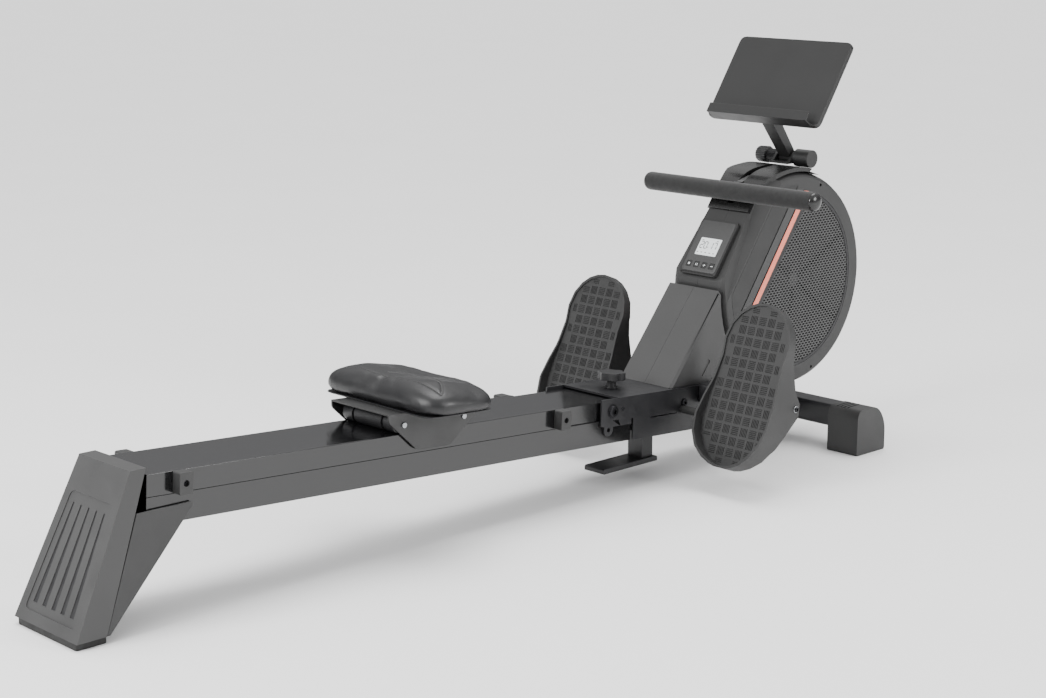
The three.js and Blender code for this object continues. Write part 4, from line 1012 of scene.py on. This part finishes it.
# handle: foam sleeve, end caps, strap and its plate
def makeHandle():
    middle, radius, half = turnedSize("handle_grip")
    basis = acrossAxes(middle)
    sleeve = rings([(radius - 2, -half + 13), (radius - 0.4, -half + 13.4), (radius, -half + 15)]
                   + [(radius - 0.15 * (k % 2), -half + 15 + (2 * half - 30) * k / 24) for k in range(1,
                                        24)]
                   + [(radius, half - 15), (radius - 0.4, half - 13.4), (radius - 2, half - 13)], 64, basis)
    smooth(sleeve, 50)
    show("gripFoam", sleeve, "handle", "foam", ["handle_grip"])
    for end in (1, -1):
        capBasis = acrossAxes(middle, end)
        r = radius - 0.8
        dome = rings([(r - 3, half - 16), (r, half - 13)] + [(r * math.cos(math.radians(k * 11)),
                     half - 12 + 11.9 * math.sin(math.radians(k * 11))) for k in range(0, 8)], 48, capBasis)
        smooth(dome, 40)
        show(f"gripCap_{end}", dome, "handle", "glossShell")


# webbing from the slot in the head to the handle's yoke, a straight strip between them
def makeStrap():
    points = [vertex.co for vertex in frame["nodes"]["pull_strap"].data.vertices]
    near = min(points, key=lambda point: point.x)
    far = max(points, key=lambda point: point.x)
    start, end = Vector((near.x, 0, near.z)), Vector((far.x, 0, far.z))
    along = (end - start).normalized()
    up = Vector((-along.z, 0, along.x))
    rows, half, thick = 60, 7.9 * mm, 0.9 * mm
    corners = []
    for row in range(rows + 1):
        spot = start + (end - start) * row / rows
        for across, lift in ((-half, 0), (half, 0), (half, thick), (-half, thick)):
            corners.append(spot + Vector((0, across, 0)) + up * lift)
    piece = bpy.data.objects.new("pullWebbing", meshOf(corners, tubeFaces(rows + 1, 4)))
    scene.collection.objects.link(piece)
    piece.data.materials.append(paints["webbing"])
    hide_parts("pull_strap")
    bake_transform(piece)
    basis = axes(start + up * 0.6 * mm, along, up)
    yoke = softened(prism([(-9, -11), (12, -10), (12, 10), (-9, 11)], -1.0, 2.6, basis), 0.8, 2)
    show("strapYoke", yoke, "handle", "blackNylon")


makeHandle()
makeStrap()
print("handle made")

# half a turned profile and its mirror image
def mirrored(profile):
    return profile + [(radius, -level) for radius, level in reversed(profile)]


# stabiliser: ribbed end caps and transport wheels
for side, name in sides:
    node = f"stabiliser_cap_{name}"
    low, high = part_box(node)
    near, far = sorted((abs(low.y), abs(high.y)))
    grooves = [prism([(low.x / mm + 10, -side * (high.z / mm + 3)), (high.x / mm - 34,
                                        -side * (high.z / mm + 3)),
                      (high.x / mm - 34, -side * (high.z / mm - 3.2)), (low.x / mm + 10,
                                        -side * (high.z / mm - 3.2))],
                     near / mm + 14 + k * 10, near / mm + 18.5 + k * 10, axes((0, 0, 0), (1, 0, 0), (0,
                                        side, 0)))
               for k in range(4)]
    fineCopy(node, "greyShell", 3.0, grooves, angle=30)
    hub = jointAt(f"{name}_wheel_spin")
    basis = axes(Vector((hub.x, hub.y, hub.z)), (1, 0, 0), (0, 1, 0))
    wheelLow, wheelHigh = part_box(f"transport_wheel_{name}")
    radius = (wheelHigh.z - wheelLow.z) / 2 / mm
    half = (wheelHigh.y - wheelLow.y) / 2 / mm
    tyre = rings(mirrored([(radius * 0.62, -half + 1.5), (radius - 3, -half), (radius - 0.6, -half + 2),
                           (radius, -half + 5), (radius, -1.6), (radius - 1.2, -0.8)]), 56, basis)
    smooth(tyre, 40)
    show(f"wheelTyre_{name}", tyre, f"wheel_{name}", "rubber", [f"transport_wheel_{name}"])
    disc = rings(mirrored([(4, -half + 1), (7, -half + 1), (8, -half + 2.2), (radius * 0.6,
                           -half + 2.2)]), 40, basis)
    smooth(disc, 30)
    show(f"wheelDisc_{name}", disc, f"wheel_{name}", "darkShell")
for node in ("seat_roller_rear", "seat_roller_front"):
    middle, radius, half = turnedSize(node)
    basis = acrossAxes(middle)
    profile = mirrored([(6.3, -half), (radius - 2, -half), (radius - 0.4, -half + 1), (radius, -half + 2.5),
                        (radius, -half + 30), (radius - 4, -half + 31), (radius - 4, -half + 36),
                         (radius, -half + 37)])
    roller = rings(profile, 48, basis)
    smooth(roller, 40)
    show(node + "_shape", roller, bodyOf[node], "blackNylon", [node])
print("stabiliser and wheels made")

# floor, light and camera
def makeFloor():
    cover = finish("paintedFloor", {"low": "#F1F1F1", "high": "#F4F4F4", "cloud": 900, "smudge": 400,
                                    "rough": (0.55, 0.62), "grain": 3.0, "relief": 0.03})
    floor = bpy.data.objects.new("floor", meshOf([(-30, -30, 0), (30, -30, 0), (30, 30, 0), (-30, 30, 0)],
                                                 [[0, 1, 2, 3]]))
    floor.data.materials.append(cover)
    scene.collection.objects.link(floor)


# dark near the horizon, so glossy tops stay black; bright overhead, so the floor is even
def makeSky():
    world = bpy.data.worlds.new("studio")
    world.use_nodes = True
    tree = world.node_tree
    where = place(tree, "TexCoord").outputs["Generated"]
    height = place(tree, "SeparateXYZ", {}, {"Vector": where}).outputs["Z"]
    ramp = place(tree, "ValToRGB", {}, {"Fac": height})
    ramp.color_ramp.elements[0].position = 0.12
    ramp.color_ramp.elements[0].color = (0.16, 0.16, 0.165, 1)
    ramp.color_ramp.elements[1].position = 0.75
    ramp.color_ramp.elements[1].color = (1.0, 1.0, 1.0, 1)
    tree.links.new(ramp.outputs["Color"], tree.nodes["Background"].inputs["Color"])
    tree.nodes["Background"].inputs["Strength"].default_value = 1.35
    scene.world = world


# an object at a spot, looking in a direction
def hang(data, spot, direction):
    thing = bpy.data.objects.new(data.name, data)
    thing.location = spot
    thing.rotation_mode = "QUATERNION"
    thing.rotation_quaternion = direction.to_track_quat("-Z", "Y")
    scene.collection.objects.link(thing)
    return thing


def makeLamp(name, spot, aim, size, power):
    data = bpy.data.lights.new(name, "AREA")
    data.shape = "RECTANGLE"
    data.size, data.size_y = size
    data.energy = power
    hang(data, spot, Vector(aim) - Vector(spot))


def makeSun(name, source, angle, power):
    data = bpy.data.lights.new(name, "SUN")
    data.energy = power
    data.angle = math.radians(angle)
    hang(data, (0, 0, 0), -Vector(source))


cameraView = {"spot": (-2.8914, -3.0578, 1.2857), "yaw": 46.08, "pitch": 12.483, "lens": 69.95}


def makeCamera():
    yaw, pitch = math.radians(cameraView["yaw"]), math.radians(cameraView["pitch"])
    ahead = Vector((math.cos(yaw) * math.cos(pitch), math.sin(yaw) * math.cos(pitch), -math.sin(pitch)))
    data = bpy.data.cameras.new("camera")
    data.lens = cameraView["lens"]
    data.sensor_width = 36
    data.clip_end = 90
    scene.camera = hang(data, cameraView["spot"], ahead)


makeFloor()
makeSky()
makeLamp("leftLamp", (-4.6, 0.6, 2.6), (-0.2, 0.0, 0.3), (2.2, 2.2), 260)
makeLamp("rightLamp", (1.8, -4.4, 2.2), (0.6, 0.0, 0.4), (2.0, 1.6), 150)
makeSun("topSun", (0.25, 0.12, 1.0), 40, 2.3)
makeCamera()

print("stage set")
